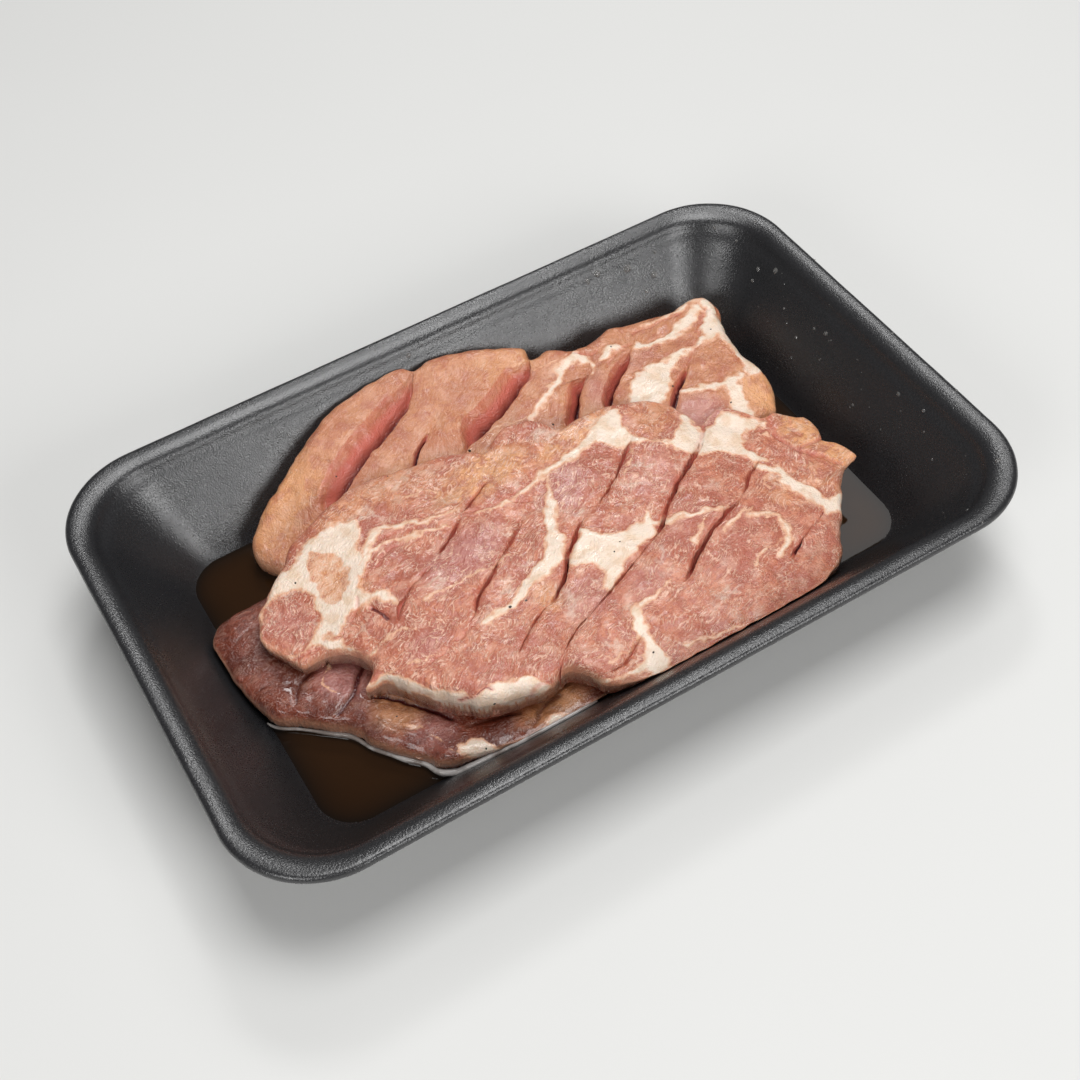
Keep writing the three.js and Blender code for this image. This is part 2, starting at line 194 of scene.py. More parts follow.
class Run:
    """A smooth line through points in plan, read by the share of its length."""

    def __init__(self, points, closed=False):
        p = np.array(points, float)
        ends = (p[-1:], p[:2]) if closed else (2 * p[:1] - p[1:2], 2 * p[-1:] - p[-2:-1])
        knots = np.vstack([ends[0], p, ends[1]])
        t = np.linspace(0, 1, 60, endpoint=False)[:, None]
        pieces = []
        for before, start, end, after in zip(knots, knots[1:], knots[2:], knots[3:]):
            pairs = ((before, start), (start, end), (end, after))
            near, mid, far = (max(np.linalg.norm(b - a), 1e-6) ** 0.5 for a, b in pairs)
            leave = mid * ((start - before) / near - (end - before) / (near + mid) + (end - start) / mid)
            arrive = mid * ((end - start) / mid - (after - start) / (mid + far) + (after - end) / far)
            second = 3 * (end - start) - 2 * leave - arrive
            third = 2 * (start - end) + leave + arrive
            pieces.append(start + leave * t + second * t ** 2 + third * t ** 3)
        pieces.append(knots[-2:-1])
        self.closed = closed
        self.points = np.vstack(pieces)
        steps = np.linalg.norm(np.diff(self.points, axis=0), axis=1)
        reach = np.concatenate([[0], np.cumsum(steps)])
        self.length = reach[-1]
        self.shares = reach / self.length

    def at(self, share):
        share = np.asarray(share, float)
        if self.closed:
            share = share % 1
        return np.stack([np.interp(share, self.shares, self.points[:, i]) for i in (0, 1)], -1)

    def across(self, share):
        """Unit vectors that point to the left of the line."""
        step = self.at(np.clip(share + 0.004, 0, 1)) - self.at(np.clip(share - 0.004, 0, 1))
        step /= np.linalg.norm(step, axis=-1, keepdims=True)
        return np.stack([-step[..., 1], step[..., 0]], -1)

    def share_of(self, place):
        far = np.linalg.norm(self.points - np.array(place, float), axis=1)
        return self.shares[far.argmin()]


def mesh_object(name, points, faces, smooth_faces=True):
    """An object at the origin, from points in millimetres."""
    mesh = bpy.data.meshes.new(name)
    mesh.from_pydata((np.asarray(points) * MM).tolist(), [], faces)
    if smooth_faces:
        mesh.shade_smooth()
    made = bpy.data.objects.new(name, mesh)
    bpy.context.scene.collection.objects.link(made)
    return made


def store(mesh, name, values):
    """Keeps one number or one vector a point for the materials."""
    values = np.asarray(values, np.float32)
    kind, field = ("FLOAT", "value") if values.ndim == 1 else ("FLOAT_VECTOR", "vector")
    mesh.attributes.new(name, kind, "POINT").data.foreach_set(field, values.ravel())


def grid_normals(grid):
    """Unit normals of a (rows, columns, 3) sheet."""
    normals = np.cross(np.gradient(grid, axis=1), np.gradient(grid, axis=0))
    return normals / np.maximum(np.linalg.norm(normals, axis=-1, keepdims=True), 1e-9)


def sheet_quads(index):
    """Faces between the rows and the columns of a sheet of numbered points."""
    return np.stack([index[:-1, :-1], index[:-1, 1:], index[1:, 1:], index[1:, :-1]], -1)


def tube_quads(index):
    """Faces between closed rings of numbered points."""
    ahead = np.roll(index, -1, axis=1)
    return np.stack([index[:-1], ahead[:-1], ahead[1:], index[1:]], -1).reshape(-1, 4).tolist()


# Heights of the surfaces, as the construction has them but for the far right of the top steak, which
# is a little lower here

def wall_height(x, y):
    """Height of the tray's inner face."""
    over_x = np.abs(x) - (TRAY_LENGTH / 2 - TRAY_CORNER)
    over_y = np.abs(y) - (TRAY_WIDTH / 2 - TRAY_CORNER)
    straight = np.minimum(TRAY_LENGTH / 2 - np.abs(x), TRAY_WIDTH / 2 - np.abs(y))
    corner = (over_x > 0) & (over_y > 0)
    inset = np.where(corner, TRAY_CORNER - np.hypot(over_x, over_y), straight)
    insets, heights = zip(*INNER_SECTION)
    return np.interp(inset, insets, heights)


def bottom_top(x, y):
    left_rise = 1.6 * ramp(-x, 45, 30)
    front_rise = 2.4 * ramp(-y, 42, 12) * ramp(-x, -4, 20)
    return 12.6 + left_rise + front_rise


def bottom_under(x, y):
    return wall_height(x, y) + 0.1


def back_support(x, y):
    back_edge = 24 + 16 * ramp(x, -70, 45)
    face = mix(bottom_top(x, y), JUICE_LEVEL, ramp(y, back_edge, 6))
    return np.maximum(np.maximum(face, wall_height(x, y)), JUICE_LEVEL)


def back_top(x, y):
    lean = 0.24 * (y - 40) * (1 - ramp(x, 10, 45))
    left_drop = 8 * ramp(-x, 35, 35)
    right_drop = 2.5 * ramp(x, 60, 25) * ramp(-y, -20, 30)
    seen = 23.5 + lean - left_drop - right_drop
    hidden = bottom_top(x, y) + 3
    hidden_until = 4 - 30 * ramp(x, 36, 20)
    return mix(hidden, seen, ramp(y, hidden_until, 26))


def top_support(x, y):
    front_edge = 30 - 24 * ramp(x, -75, 65) - 10.5 * ramp(x, -10, 70)
    over_back = ramp(y, front_edge - 7, 5) * ramp(x, -74, 8)
    back_face = mix(bottom_top(x, y), back_top(x, y), over_back)
    flap_lift = 16.5 * ramp(x, 68, 12)
    faces = (bottom_top(x, y), back_face, wall_height(x, y), flap_lift)
    return np.maximum.reduce(faces)


def top_top(x, y):
    front_drop = 0.0016 * np.maximum(0, -14 - y) ** 2
    left_drop = 6.5 * ramp(-x, 42, 42)
    right_drop = 4.5 * ramp(x, 34, 38) + 2.6 * ramp(x, 70, 14)
    return 27.5 - front_drop - left_drop - right_drop


# Outlines and cuts of the steaks, at their true places in plan. A cut runs from one edge to the other.
# Each opening has its start and end, as shares of the cut's length, and its share of the width and
# depth. The lean is the share of the width in front of the deepest line. The edge is the width of the
# rounding, and the waist is the share of the height at which the edge is widest.

BOTTOM_STEAK = {
    "outline": [
        (70, -40), (76, -28), (78, -12), (77, 4), (73, 20), (66, 30), (50, 37), (20, 40), (-25, 38),
        (-45, 33), (-62, 27), (-76, 24), (-88, 23), (-92.3, 17), (-92.8, 8), (-91.5, -3), (-89, -12),
        (-83, -17), (-78, -21.5), (-73, -26), (-70, -32), (-65, -39), (-60.5, -44), (-58.5, -48),
        (-54, -50.5), (-46, -53), (-38, -55), (-26, -55.3), (-14, -55), (0, -52), (40, -49.5),
        (58, -46.5),
    ],
    "front_arc": [(-58.5, -48), (66, -42)],
    "back_arc": [(-88, 23), (66, 30)],
    "cuts": [],
    "edge": 8,
    "waist": 0.45,
    "top": bottom_top,
    "under": bottom_under,
}

BACK_STEAK = {
    "outline": [
        (70, -6), (78, -2), (82, 6), (81.5, 22), (84, 33), (87, 41), (86, 46), (83, 48), (74, 47),
        (65, 48.5), (60, 49.5), (53, 51.5), (46, 49.5), (39, 49.5), (34, 52), (28, 52), (28, 55.5),
        (20, 59.5), (10, 62.5), (0, 64), (-5, 63), (-8, 65), (-18, 65), (-31, 63), (-43, 58.5),
        (-52, 54), (-64, 48), (-70, 41.5), (-70, 36), (-60, 24), (-40, 14), (-10, 6), (20, 2),
        (44, -1), (58, -5),
    ],
    "front_arc": [(62, -5.5), (82, 6)],
    "back_arc": [(-70, 36), (-25, 64.3)],
    "cuts": [
        {"points": [(44, -1), (52, 12), (62, 21), (70, 30), (82, 41), (86, 46)],
         "open": [(0.2, 0.5, 1)], "width": 1.6, "depth": 3, "lean": 0.2},
        {"points": [(22, 2), (29, 13), (36, 22), (44, 30), (50, 34), (62, 49)],
         "open": [(0.38, 0.78, 1)], "width": 3.4, "depth": 5.5, "lean": 0.2},
        {"points": [(10, 3), (19, 16), (27, 25), (33, 33), (37, 36), (46, 49.5)],
         "open": [(0.38, 0.76, 1)], "width": 3.6, "depth": 5.5, "lean": 0.2},
        {"points": [(-14, 7), (-10, 20), (-6, 31), (2, 35), (10, 38), (16, 41), (24, 46), (28, 53)],
         "open": [(0.36, 0.98, 1)], "width": 7, "depth": 6.5, "lean": 0.08},
        {"points": [(-32, 11), (-27, 22), (-21, 34), (-13, 41), (0, 50), (12, 62)],
         "open": [(0.32, 0.56, 1)], "width": 0.5, "depth": 1.8, "lean": 0.3},
        {"points": [(-56, 22), (-50, 29), (-45, 34.5), (-32, 43), (-20, 48.5), (-12, 53), (-5, 63)],
         "open": [(0.1, 0.99, 1)], "width": 7.5, "depth": 6.5, "lean": 0.08},
    ],
    "edge": 4.2,
    "waist": 0.45,
    "top": back_top,
    "under": back_support,
}

TOP_STEAK = {
    "outline": [
        (56, -58), (61, -55), (66, -48), (71, -41.5), (74.3, -37), (78, -32.8), (79.7, -31.6),
        (80, -31.4), (84.9, -30), (85.3, -29.7), (84.5, -25), (83.6, -22.4), (83.3, -22), (80.4, -20.2),
        (80.2, -19.9), (81.6, -17.6), (82.4, -14), (82.3, -10.2), (82.1, -9.8), (78.4, -8),
        (74.6, -5.8), (74.3, -5.6), (72, -5.8), (70, -5.6), (66, -1), (62, 3), (57, 2), (54, 0),
        (51.5, 6), (50, 11), (46, 15.5), (40, 18), (33, 20), (25, 20.5), (19, 20.5), (16, 25),
        (12, 28), (6, 29), (1, 27), (-3, 24.5), (-8, 27), (-14, 30), (-22, 31), (-32, 33), (-42, 33),
        (-50, 31), (-57, 29), (-62, 27.5), (-68, 22), (-74, 17.5), (-79, 13), (-82, 3), (-79, -3),
        (-76, -9), (-70, -9.5), (-65, -12), (-62, -17), (-62, -21.5), (-66, -25), (-61, -26),
        (-57, -31), (-53, -37), (-47, -42), (-44, -45.5), (-34, -49), (-26, -50.5), (-20, -49),
        (-16.5, -53), (-14, -58), (-9, -61), (0, -62.5), (16, -63), (34, -63), (48, -61.5),
    ],
    "front_arc": [(44, -62.2), (66, -48)],
    "back_arc": [(-80, 10), (-45, 32.3)],
    "cuts": [
        {"points": [(26, -63), (35, -57), (45, -52), (55, -47), (64, -43), (75, -38)],
         "open": [(0.42, 0.82, 1)], "width": 0.3, "depth": 1.4, "lean": 0.3},
        {"points": [(-15, -55.5), (-8, -56), (-2, -53), (7, -48), (20, -43), (29, -37), (38, -32),
                    (47, -28), (56, -21), (64, -16), (72, -11), (81.5, -8)],
         "open": [(0.02, 0.16, 0.3), (0.33, 0.645, 1), (0.64, 0.79, 0.5)], "width": 1.6,
         "depth": 5, "lean": 0.1},
        {"points": [(-23, -50), (-20, -47), (-13, -42), (-4, -38), (6, -34), (17, -29), (23, -26),
                    (31, -19), (41, -12), (48, -7), (54, 0)],
         "open": [(-0.05, 0.2, 0.9), (0.24, 0.5, 0.55), (0.5, 0.93, 1)], "width": 1.2, "depth": 4.6,
         "lean": 0.1},
        {"points": [(-41, -46.5), (-30, -40), (-20, -33), (-9, -28), (-2, -20), (7, -12), (17, -8),
                    (31, 3), (46, 15.5)],
         "open": [(0.12, 0.3, 0.35), (0.28, 0.56, 1), (0.6, 0.86, 0.55)], "width": 1.1, "depth": 4.4,
         "lean": 0.25},
        {"points": [(-52, -38), (-36, -26), (-28, -19), (-18, -12), (-10, -6), (4, 7), (17.5, 22.5)],
         "open": [(0.25, 0.45, 1), (0.37, 0.62, 0.45)], "width": 1.3, "depth": 4.2, "lean": 0.1},
        {"points": [(-66, -25), (-53, -17), (-47, -10), (-36, -4), (-26, 2), (-17, 9), (-7, 14),
                    (10, 28.4)],
         "open": [(0.19, 0.42, 0.4), (0.45, 0.6, 0.7), (0.62, 0.76, 1)], "width": 0.9, "depth": 3,
         "lean": 0.3},
    ],
    "edge": 3,
    "waist": 0.68,
    "top": top_top,
    "under": top_support,
}

# Fat, drawn on the drawing level as the viewpoint sees it. A patch is an outline, a seam is a line
# with its width at both ends, an island is muscle inside a patch, fat is thin inside a thin outline,
# and a crease is a line with its width and its strength. A crease is pressed in and darkened with
# painted shade.

TOP_FAT = {
    "patches": [
        [(-83, -4), (-82, 3), (-78.5, 9.5), (-73, 13.5), (-68, 17), (-64, 20), (-60, 23), (-55, 23.8),
         (-50, 23.5), (-46, 23), (-43.5, 20), (-44, 17), (-47, 14.5), (-49.5, 10), (-51, 5), (-53, 0.5),
         (-52.5, -2.5), (-49.5, -3.5), (-47.5, -6), (-47, -9.2), (-49, -9.8), (-50.3, -6.8), (-53, -5.5),
         (-57.5, -5.5), (-62, -8), (-64.5, -13), (-63, -18), (-66, -15.5), (-70, -11.5), (-72, -9),
         (-79, -9.6), (-82.5, -7.5)],
        [(19, 10), (24, 12.5), (28, 15.5), (32, 17.5), (35, 17), (35.5, 11), (35.8, 6), (38, 2.3),
         (41, -0.6), (44.5, -0.6), (47.5, 2.5), (49.2, 5), (51.3, 3), (50.8, -1.5), (53, -3.5),
         (57, -1), (60, 0), (63, -3), (66, -7), (68, -11), (64, -11.8), (60.5, -11), (57.8, -13),
         (58.6, -17), (60.8, -22.5), (58, -22.5), (54.5, -17), (52.5, -12.5), (48, -10), (45, -9.8),
         (42.8, -6), (40, -1.6), (37, 1.4), (33.5, 2.8), (30, 3.4), (27, 5.5), (24.5, 8.5)],
        [(5.5, -12.5), (7.5, -17), (10.5, -19.5), (15, -21), (20, -20), (23, -18.5), (23, -23), (20, -27),
         (15, -28.5), (10, -30.5), (5, -34), (1, -37.5), (-1.5, -35), (1.5, -31), (0, -26.5), (-4, -24),
         (-3.5, -21), (0, -18.5), (3, -16)],
        [(-22, -54), (-19, -57.5), (-15.5, -61.5), (-8, -64), (0, -64.6), (3, -63), (2, -58), (3, -52),
         (5, -46), (1.5, -44), (-0.5, -49), (-2, -55), (-6, -58.5), (-12, -60), (-17, -57)],
        [(-67, -30.2), (-62, -26.6), (-58.5, -28.5), (-55.5, -34), (-50, -40), (-45.5, -44.2),
         (-41, -44.4), (-36.5, -45.8), (-32, -48), (-28.5, -50.5), (-27.5, -54), (-35, -54),
         (-44, -51), (-49, -47.5), (-54.5, -42), (-58, -36.5), (-62.5, -30)],
    ],
    "islands": [
        [(-80.6, 5), (-78, 8.6), (-74, 9.7), (-70, 9.7), (-67.3, 7), (-66.5, 2), (-67.5, -3), (-70, -6),
         (-74, -8), (-79, -8.3), (-82, -6), (-82, -1)],
        [(-15, -60.8), (-10, -61.8), (-5.5, -62.8), (-9, -64), (-14, -62.8)],
    ],
    "thin": [
        [(-64.5, 14), (-62, 20), (-57, 19), (-53.5, 14), (-52, 8), (-53.5, 3), (-57, 0), (-61, -2.5),
         (-64.5, -1), (-65.5, 7)],
        [(-69, -6), (-64, -7), (-62, -12), (-66, -13), (-70, -10)],
        [(14, -54), (4, -50), (2, -46), (6, -44)],
    ],
    "seams": [
        ([(-52, 4), (-49, 10), (-45, 13.5), (-40, 15), (-34, 12.8), (-28, 10.6), (-20, 9.5)], 3.4, 1.2),
        ([(-50, 8), (-46, 10.5), (-41, 10.6), (-36, 9), (-30, 7.6), (-24, 6.5)], 2.6, 0.8),
        ([(-17, 6.3), (-10, 5), (-3, 5), (2, 6.5), (8, 8), (14, 9), (20, 10.5), (26, 12)], 1, 3.4),
        ([(57, -22.5), (59.5, -26.6), (61, -33), (62.2, -39), (63.5, -45), (68, -45)], 3.2, 5.6),
        ([(60, -25), (56, -27), (54, -30)], 1.6, 0.7),
        ([(44, -34.5), (47.8, -37.7), (50.6, -41.5), (49.2, -46.9), (44.8, -51.5)], 1.8, 2.6),
        ([(36, -49), (42, -46.5), (47, -47.5)], 1.6, 0.8),
        ([(7, 8), (5, 2), (3, -3), (0, -8), (-3, -13), (-5, -18.5)], 1, 5.4),
        ([(-4, -17), (-10, -21), (-18, -23.5), (-25, -26), (-31, -27)], 5.6, 2.6),
        ([(22, -23.5), (27, -25), (33, -27.2), (40.4, -29.6)], 2.8, 2),
        ([(27, -35), (30.5, -32.5), (33.5, -30.5)], 2, 1.2),
        ([(37, -35), (42, -33), (47, -33.5)], 2.2, 1),
        ([(5, -45.5), (10, -43.5), (16, -41)], 2.2, 0.6),
        ([(8, -62), (16, -62.5), (24, -63)], 1.6, 0.8),
        ([(-70, -29.5), (-60, -27), (-50, -28), (-40, -29)], 1.2, 0.5),
        ([(-42, -12.5), (-34, -12.2), (-26, -12.7), (-16, -12)], 1.2, 0.9),
        ([(-62, -20), (-57, -18.5), (-51, -17.5), (-47, -19.5)], 1.6, 0.8),
        ([(-13, -52.5), (-9, -54.5), (-4, -54), (-1, -51)], 0.9, 0.8),
        ([(16, -7), (24, -4.5), (31, 2)], 0.6, 0.9),
        ([(-30, 22), (-24, 20.5), (-19, 17), (-18, 12)], 0.7, 0.6),
        ([(65, -14), (69, -20), (70, -28), (67, -36)], 0.8, 0.6),
    ],
    "shaded_creases": [
        ([(-54.6, -6.8), (-53.2, -9), (-52.4, -12)], 1.2, 1),
        ([(-60.5, -8.4), (-58.5, -6), (-56, -2.2)], 0.6, 0.6),
        ([(-48.6, -44), (-45, -45.2), (-41.5, -44.6), (-40.6, -46)], 0.6, 1),
        ([(-50, -29.8), (-44, -29.2), (-38, -27.6), (-33, -25)], 0.7, 0.5),
        ([(-46.5, 4.5), (-44, 7), (-40.5, 8), (-37, 7.6)], 0.6, 0.6),
        ([(-18, 7.6), (-12, 6.2), (-5, 6), (2, 7.4)], 0.5, 0.5),
        ([(43.5, -10), (48, -6.5), (53, -2.5)], 0.8, 0.45),
        ([(-43, 12.6), (-38, 12.2), (-32, 10)], 1, 0.35),
        ([(70, -9), (67.6, -16), (68.4, -22), (71.6, -27.6), (74.8, -33.5)], 1.2, 0.6),
        ([(77.5, -23.4), (73, -23.6), (69, -23)], 1, 0.62),
        ([(75, -11.5), (72.6, -16), (73, -20)], 0.6, 0.4),
        ([(-36, -54), (-30, -51.5), (-26, -52)], 0.7, 0.6),
        ([(-81, -9.5), (-75, -10.5), (-71, -10.5)], 0.8, 0.4),
        ([(-8, 8), (-4, 3), (-1, 1)], 0.5, 0.5),
    ],
}

BACK_FAT = {
    "patches": [
        [(40, 16.5), (42.5, 21.5), (46, 24.8), (52, 26), (58, 25.5), (63, 27), (68, 27.5), (73, 30),
         (78, 35), (80.5, 41.5), (83, 41), (82, 33), (80.5, 26), (79.5, 20), (77.6, 21.5), (75, 24.5),
         (70, 25.5), (65, 24.5), (60, 22.5), (56.5, 20.5), (55.5, 17), (52.5, 14.3), (48.5, 12),
         (44.5, 12.3), (41.5, 14)],
        [(52, 33.5), (54.5, 36.3), (58, 35), (62, 33.7), (67, 34.5), (72, 37), (78, 40), (79, 37.5),
         (75, 34), (70, 31.5), (64, 30.5), (58, 31.5)],
        [(42, 36), (44, 38.2), (47.5, 38.8), (50.5, 37.2), (51, 35), (47, 35.8)],
    ],
    "islands": [],
    "seams": [
        ([(13, 27), (20, 31), (27, 36), (32, 40.3), (37.5, 41.3)], 2.2, 3.4),
        ([(37, 41), (39, 38), (38, 33.5)], 3.4, 1.2),
        ([(60, 41), (68, 40.5), (76, 41), (82, 41)], 1.4, 2.6),
        ([(80, 30), (78.6, 23), (77.2, 13), (75.6, 7)], 4, 3.6),
        ([(54.5, 12), (60.3, 10.2), (65, 7.6), (72.5, 7.6)], 2.6, 3.2),
        ([(69.5, 8), (66.5, 1.4), (64.1, -5.5)], 4.8, 5.4),
        ([(77.5, 9), (78, 4), (76.5, -2)], 1.6, 1),
        ([(25, 43.5), (31, 42.5), (36, 44)], 0.8, 0.6),
        ([(-3, 29), (6, 30), (14, 28)], 0.6, 0.8),
        ([(16, 20.5), (20, 19), (24, 20.5)], 0.8, 0.6),
    ],
    "shaded_creases": [
        ([(61, 19.6), (66, 24), (72, 29.5), (80, 36.5)], 0.8, 0.3),
        ([(13.5, 14), (15.5, 19), (15, 25)], 0.7, 0.45),
        ([(43, 33), (48, 36), (53, 36.5)], 0.7, 0.4),
        ([(38, 42.5), (42, 39.5), (44, 40)], 0.7, 0.5),
        ([(56, 40), (64, 39.6), (72, 39)], 0.6, 0.35),
    ],
}

BOTTOM_FAT = {
    "patches": [
        [(-34.5, -60), (-28, -60.5), (-27, -63), (-30, -65), (-36, -64)],
        [(-56, -56.5), (-52, -55.5), (-48, -60), (-46, -63.5), (-52, -64.5), (-55, -61)],
    ],
    "islands": [],
    "seams": [
        ([(-92, 10), (-87, 12), (-80, 11.5)], 1.4, 0.8),
        ([(-72, -17), (-76, -21), (-73, -25)], 1, 0.7),
        ([(-62, -43), (-58, -50), (-56, -56)], 0.8, 0.5),
    ],
    "shaded_creases": [
        ([(-84, -23), (-81, -18.5), (-77, -16.6), (-70, -15)], 1, 0.9),
        ([(-76, -31.5), (-71, -28.5), (-66.5, -24.5), (-63, -21)], 1, 1.1),
        ([(-66, -31), (-61, -36), (-56, -43), (-53, -48)], 1, 1.1),
        ([(-50, -52), (-44, -53.5), (-38, -55)], 0.9, 0.6),
        ([(-37, -60), (-31, -57), (-27, -57)], 1, 0.8),
        ([(-90, 2), (-86, 3.5), (-82, 4.5)], 0.7, 0.4),
        ([(-88, -14), (-84, -16), (-80, -18)], 0.6, 0.4),
        ([(-68, -38), (-65, -43), (-60, -46)], 0.6, 0.4),
    ],
}

# Tint of the muscles, on the drawing level: middle, reach along and across, turn in degrees, strength
VIOLET_SPOTS = [
    (-26, -5, 12, 6, 20, 1), (-74, 0, 5, 7, 0, 0.6), (-6, -34, 5, 7, -40, 0.7), (10, 1, 4, 9, -35, 0.9),
    (55, 3, 6, 6, 0, 1), (30, -9, 8, 6, 30, 0.5), (-48, -25, 6, 3, 20, 0.6), (10, -40, 5, 4, 30, 0.6),
    (-70, -22, 6, 6, 0, 0.9), (-58, -48, 5, 6, 0, 0.5), (36, 27, 3, 6, -30, 0.5), (50, 30, 6, 3, 10, 0.4),
]
AMBER_SPOTS = [
    (-8, 17, 14, 6, 5, 1), (20, 15, 12, 4, 10, 0.9), (-57, 6, 5, 10, 0, 0.9), (-60, 40, 16, 9, 40, 0.7),
    (-40, 27, 16, 4, 10, 0.5), (-14, -29, 3, 5, 0, 0.6), (20, 52, 10, 8, 40, 0.5), (-28, 26, 10, 6, 0, 0.4),
    (75, -17, 4, 7, 0, 0.7), (78, -30, 5, 6, 0, 1), (74, -17, 5, 8, 0, 1), (68, -36, 4, 8, 0, 0.4),
    (74, 0, 5, 9, 0, 0.9), (43, 8, 6, 6, 0, 0.5), (58.5, 16, 4, 0.8, 45, 0.6), (-30, -58, 8, 4, 0, 0.6),
    (-62, -38, 6, 6, 0, 0.5), (58, -34, 6, 6, 0, 0.4),
]


def drawn_place(points):
    """Where points in millimetres are seen on the drawing level from the viewpoint."""
    share = (DRAWING_LEVEL - VIEWPOINT[2]) / (points[:, 2] - VIEWPOINT[2])
    return VIEWPOINT[:2] + (points[:, :2] - VIEWPOINT[:2]) * share[:, None]


# How far outside a mark the depth is still worked out
FAR = 6.0


def near_marks(places, marks):
    """Which places lie in the box round the marks, or not far outside it."""
    return np.all((places > marks.min(0) - FAR) & (places < marks.max(0) + FAR), axis=1)


def stretch_distance(places, a, b):
    """Distance of the places from the stretch a to b, and how far along it they are."""
    from_a, way = places - a, b - a
    share = np.clip((from_a @ way) / max(way @ way, 1e-9), 0, 1)
    off = from_a - share[:, None] * way
    return np.sqrt(off[:, 0] ** 2 + off[:, 1] ** 2), share


def seam_depth(places, line, start_width, end_width):
    """How far inside a seam each place is, in millimetres, less than nothing outside it."""
    marks = Run(line).at(np.linspace(0, 1, 4 * len(line)))
    widths = np.linspace(start_width, end_width, len(marks)) / 2
    depth = np.full(len(places), -FAR)
    close = near_marks(places, marks)
    places = places[close]
    best = depth[close]
    for a, b, wide, next_wide in zip(marks, marks[1:], widths, widths[1:]):
        far, share = stretch_distance(places, a, b)
        best = np.maximum(best, mix(wide, next_wide, share) - far)
    depth[close] = best
    return depth


def patch_depth(places, outline):
    """How far inside an outline each place is, in millimetres, less than nothing outside it."""
    marks = Run(outline, closed=True).at(np.linspace(0, 1, 4 * len(outline)))
    depth = np.full(len(places), -FAR)
    close = near_marks(places, marks)
    places = places[close]
    nearest = np.full(len(places), 9e9)
    inside = np.zeros(len(places), bool)
    for a, b in zip(marks, marks[1:]):
        far, _ = stretch_distance(places, a, b)
        nearest = np.minimum(nearest, far)
        crosses = (a[1] > places[:, 1]) != (b[1] > places[:, 1])
        rise = b[1] - a[1] or 1e-9
        inside ^= crosses & (places[:, 0] < a[0] + (places[:, 1] - a[1]) * (b[0] - a[0]) / rise)
    depth[close] = np.where(inside, nearest, -nearest)
    return depth


def fat_depth(places, fat):
    """How far inside the fat each place is, less than nothing in the muscle."""
    depth = np.full(len(places), -9.0)
    for line, start_width, end_width in fat["seams"]:
        depth = np.maximum(depth, seam_depth(places, line, start_width, end_width))
    for outline in fat["patches"]:
        depth = np.maximum(depth, patch_depth(places, outline))
    for outline in fat["islands"]:
        depth = np.minimum(depth, -patch_depth(places, outline))
    for outline in fat.get("thin", []):
        depth = np.minimum(depth, mix(4, 0.3, ramp(patch_depth(places, outline), -1.5, 4)))
    return np.clip(depth, -4, 4)


def shaded_crease_strength(places, shaded_creases):
    """How strongly each place is creased and darkened with painted shade."""
    strength = np.zeros(len(places))
    for line, width, most in shaded_creases:
        strength = np.maximum(strength, most * ramp(seam_depth(places, line, width, width), -0.5, 0.8))
    return strength


def spot_strength(places, spots):
    """How strongly each place is tinted."""
    strength = np.zeros(len(places))
    for x, y, along, across, turn, most in spots:
        angle = math.radians(turn)
        way = places - (x, y)
        u = (way[:, 0] * math.cos(angle) + way[:, 1] * math.sin(angle)) / along
        v = (way[:, 1] * math.cos(angle) - way[:, 0] * math.sin(angle)) / across
        strength = np.maximum(strength, most * smooth(1.6 - np.hypot(u, v)))
    return strength


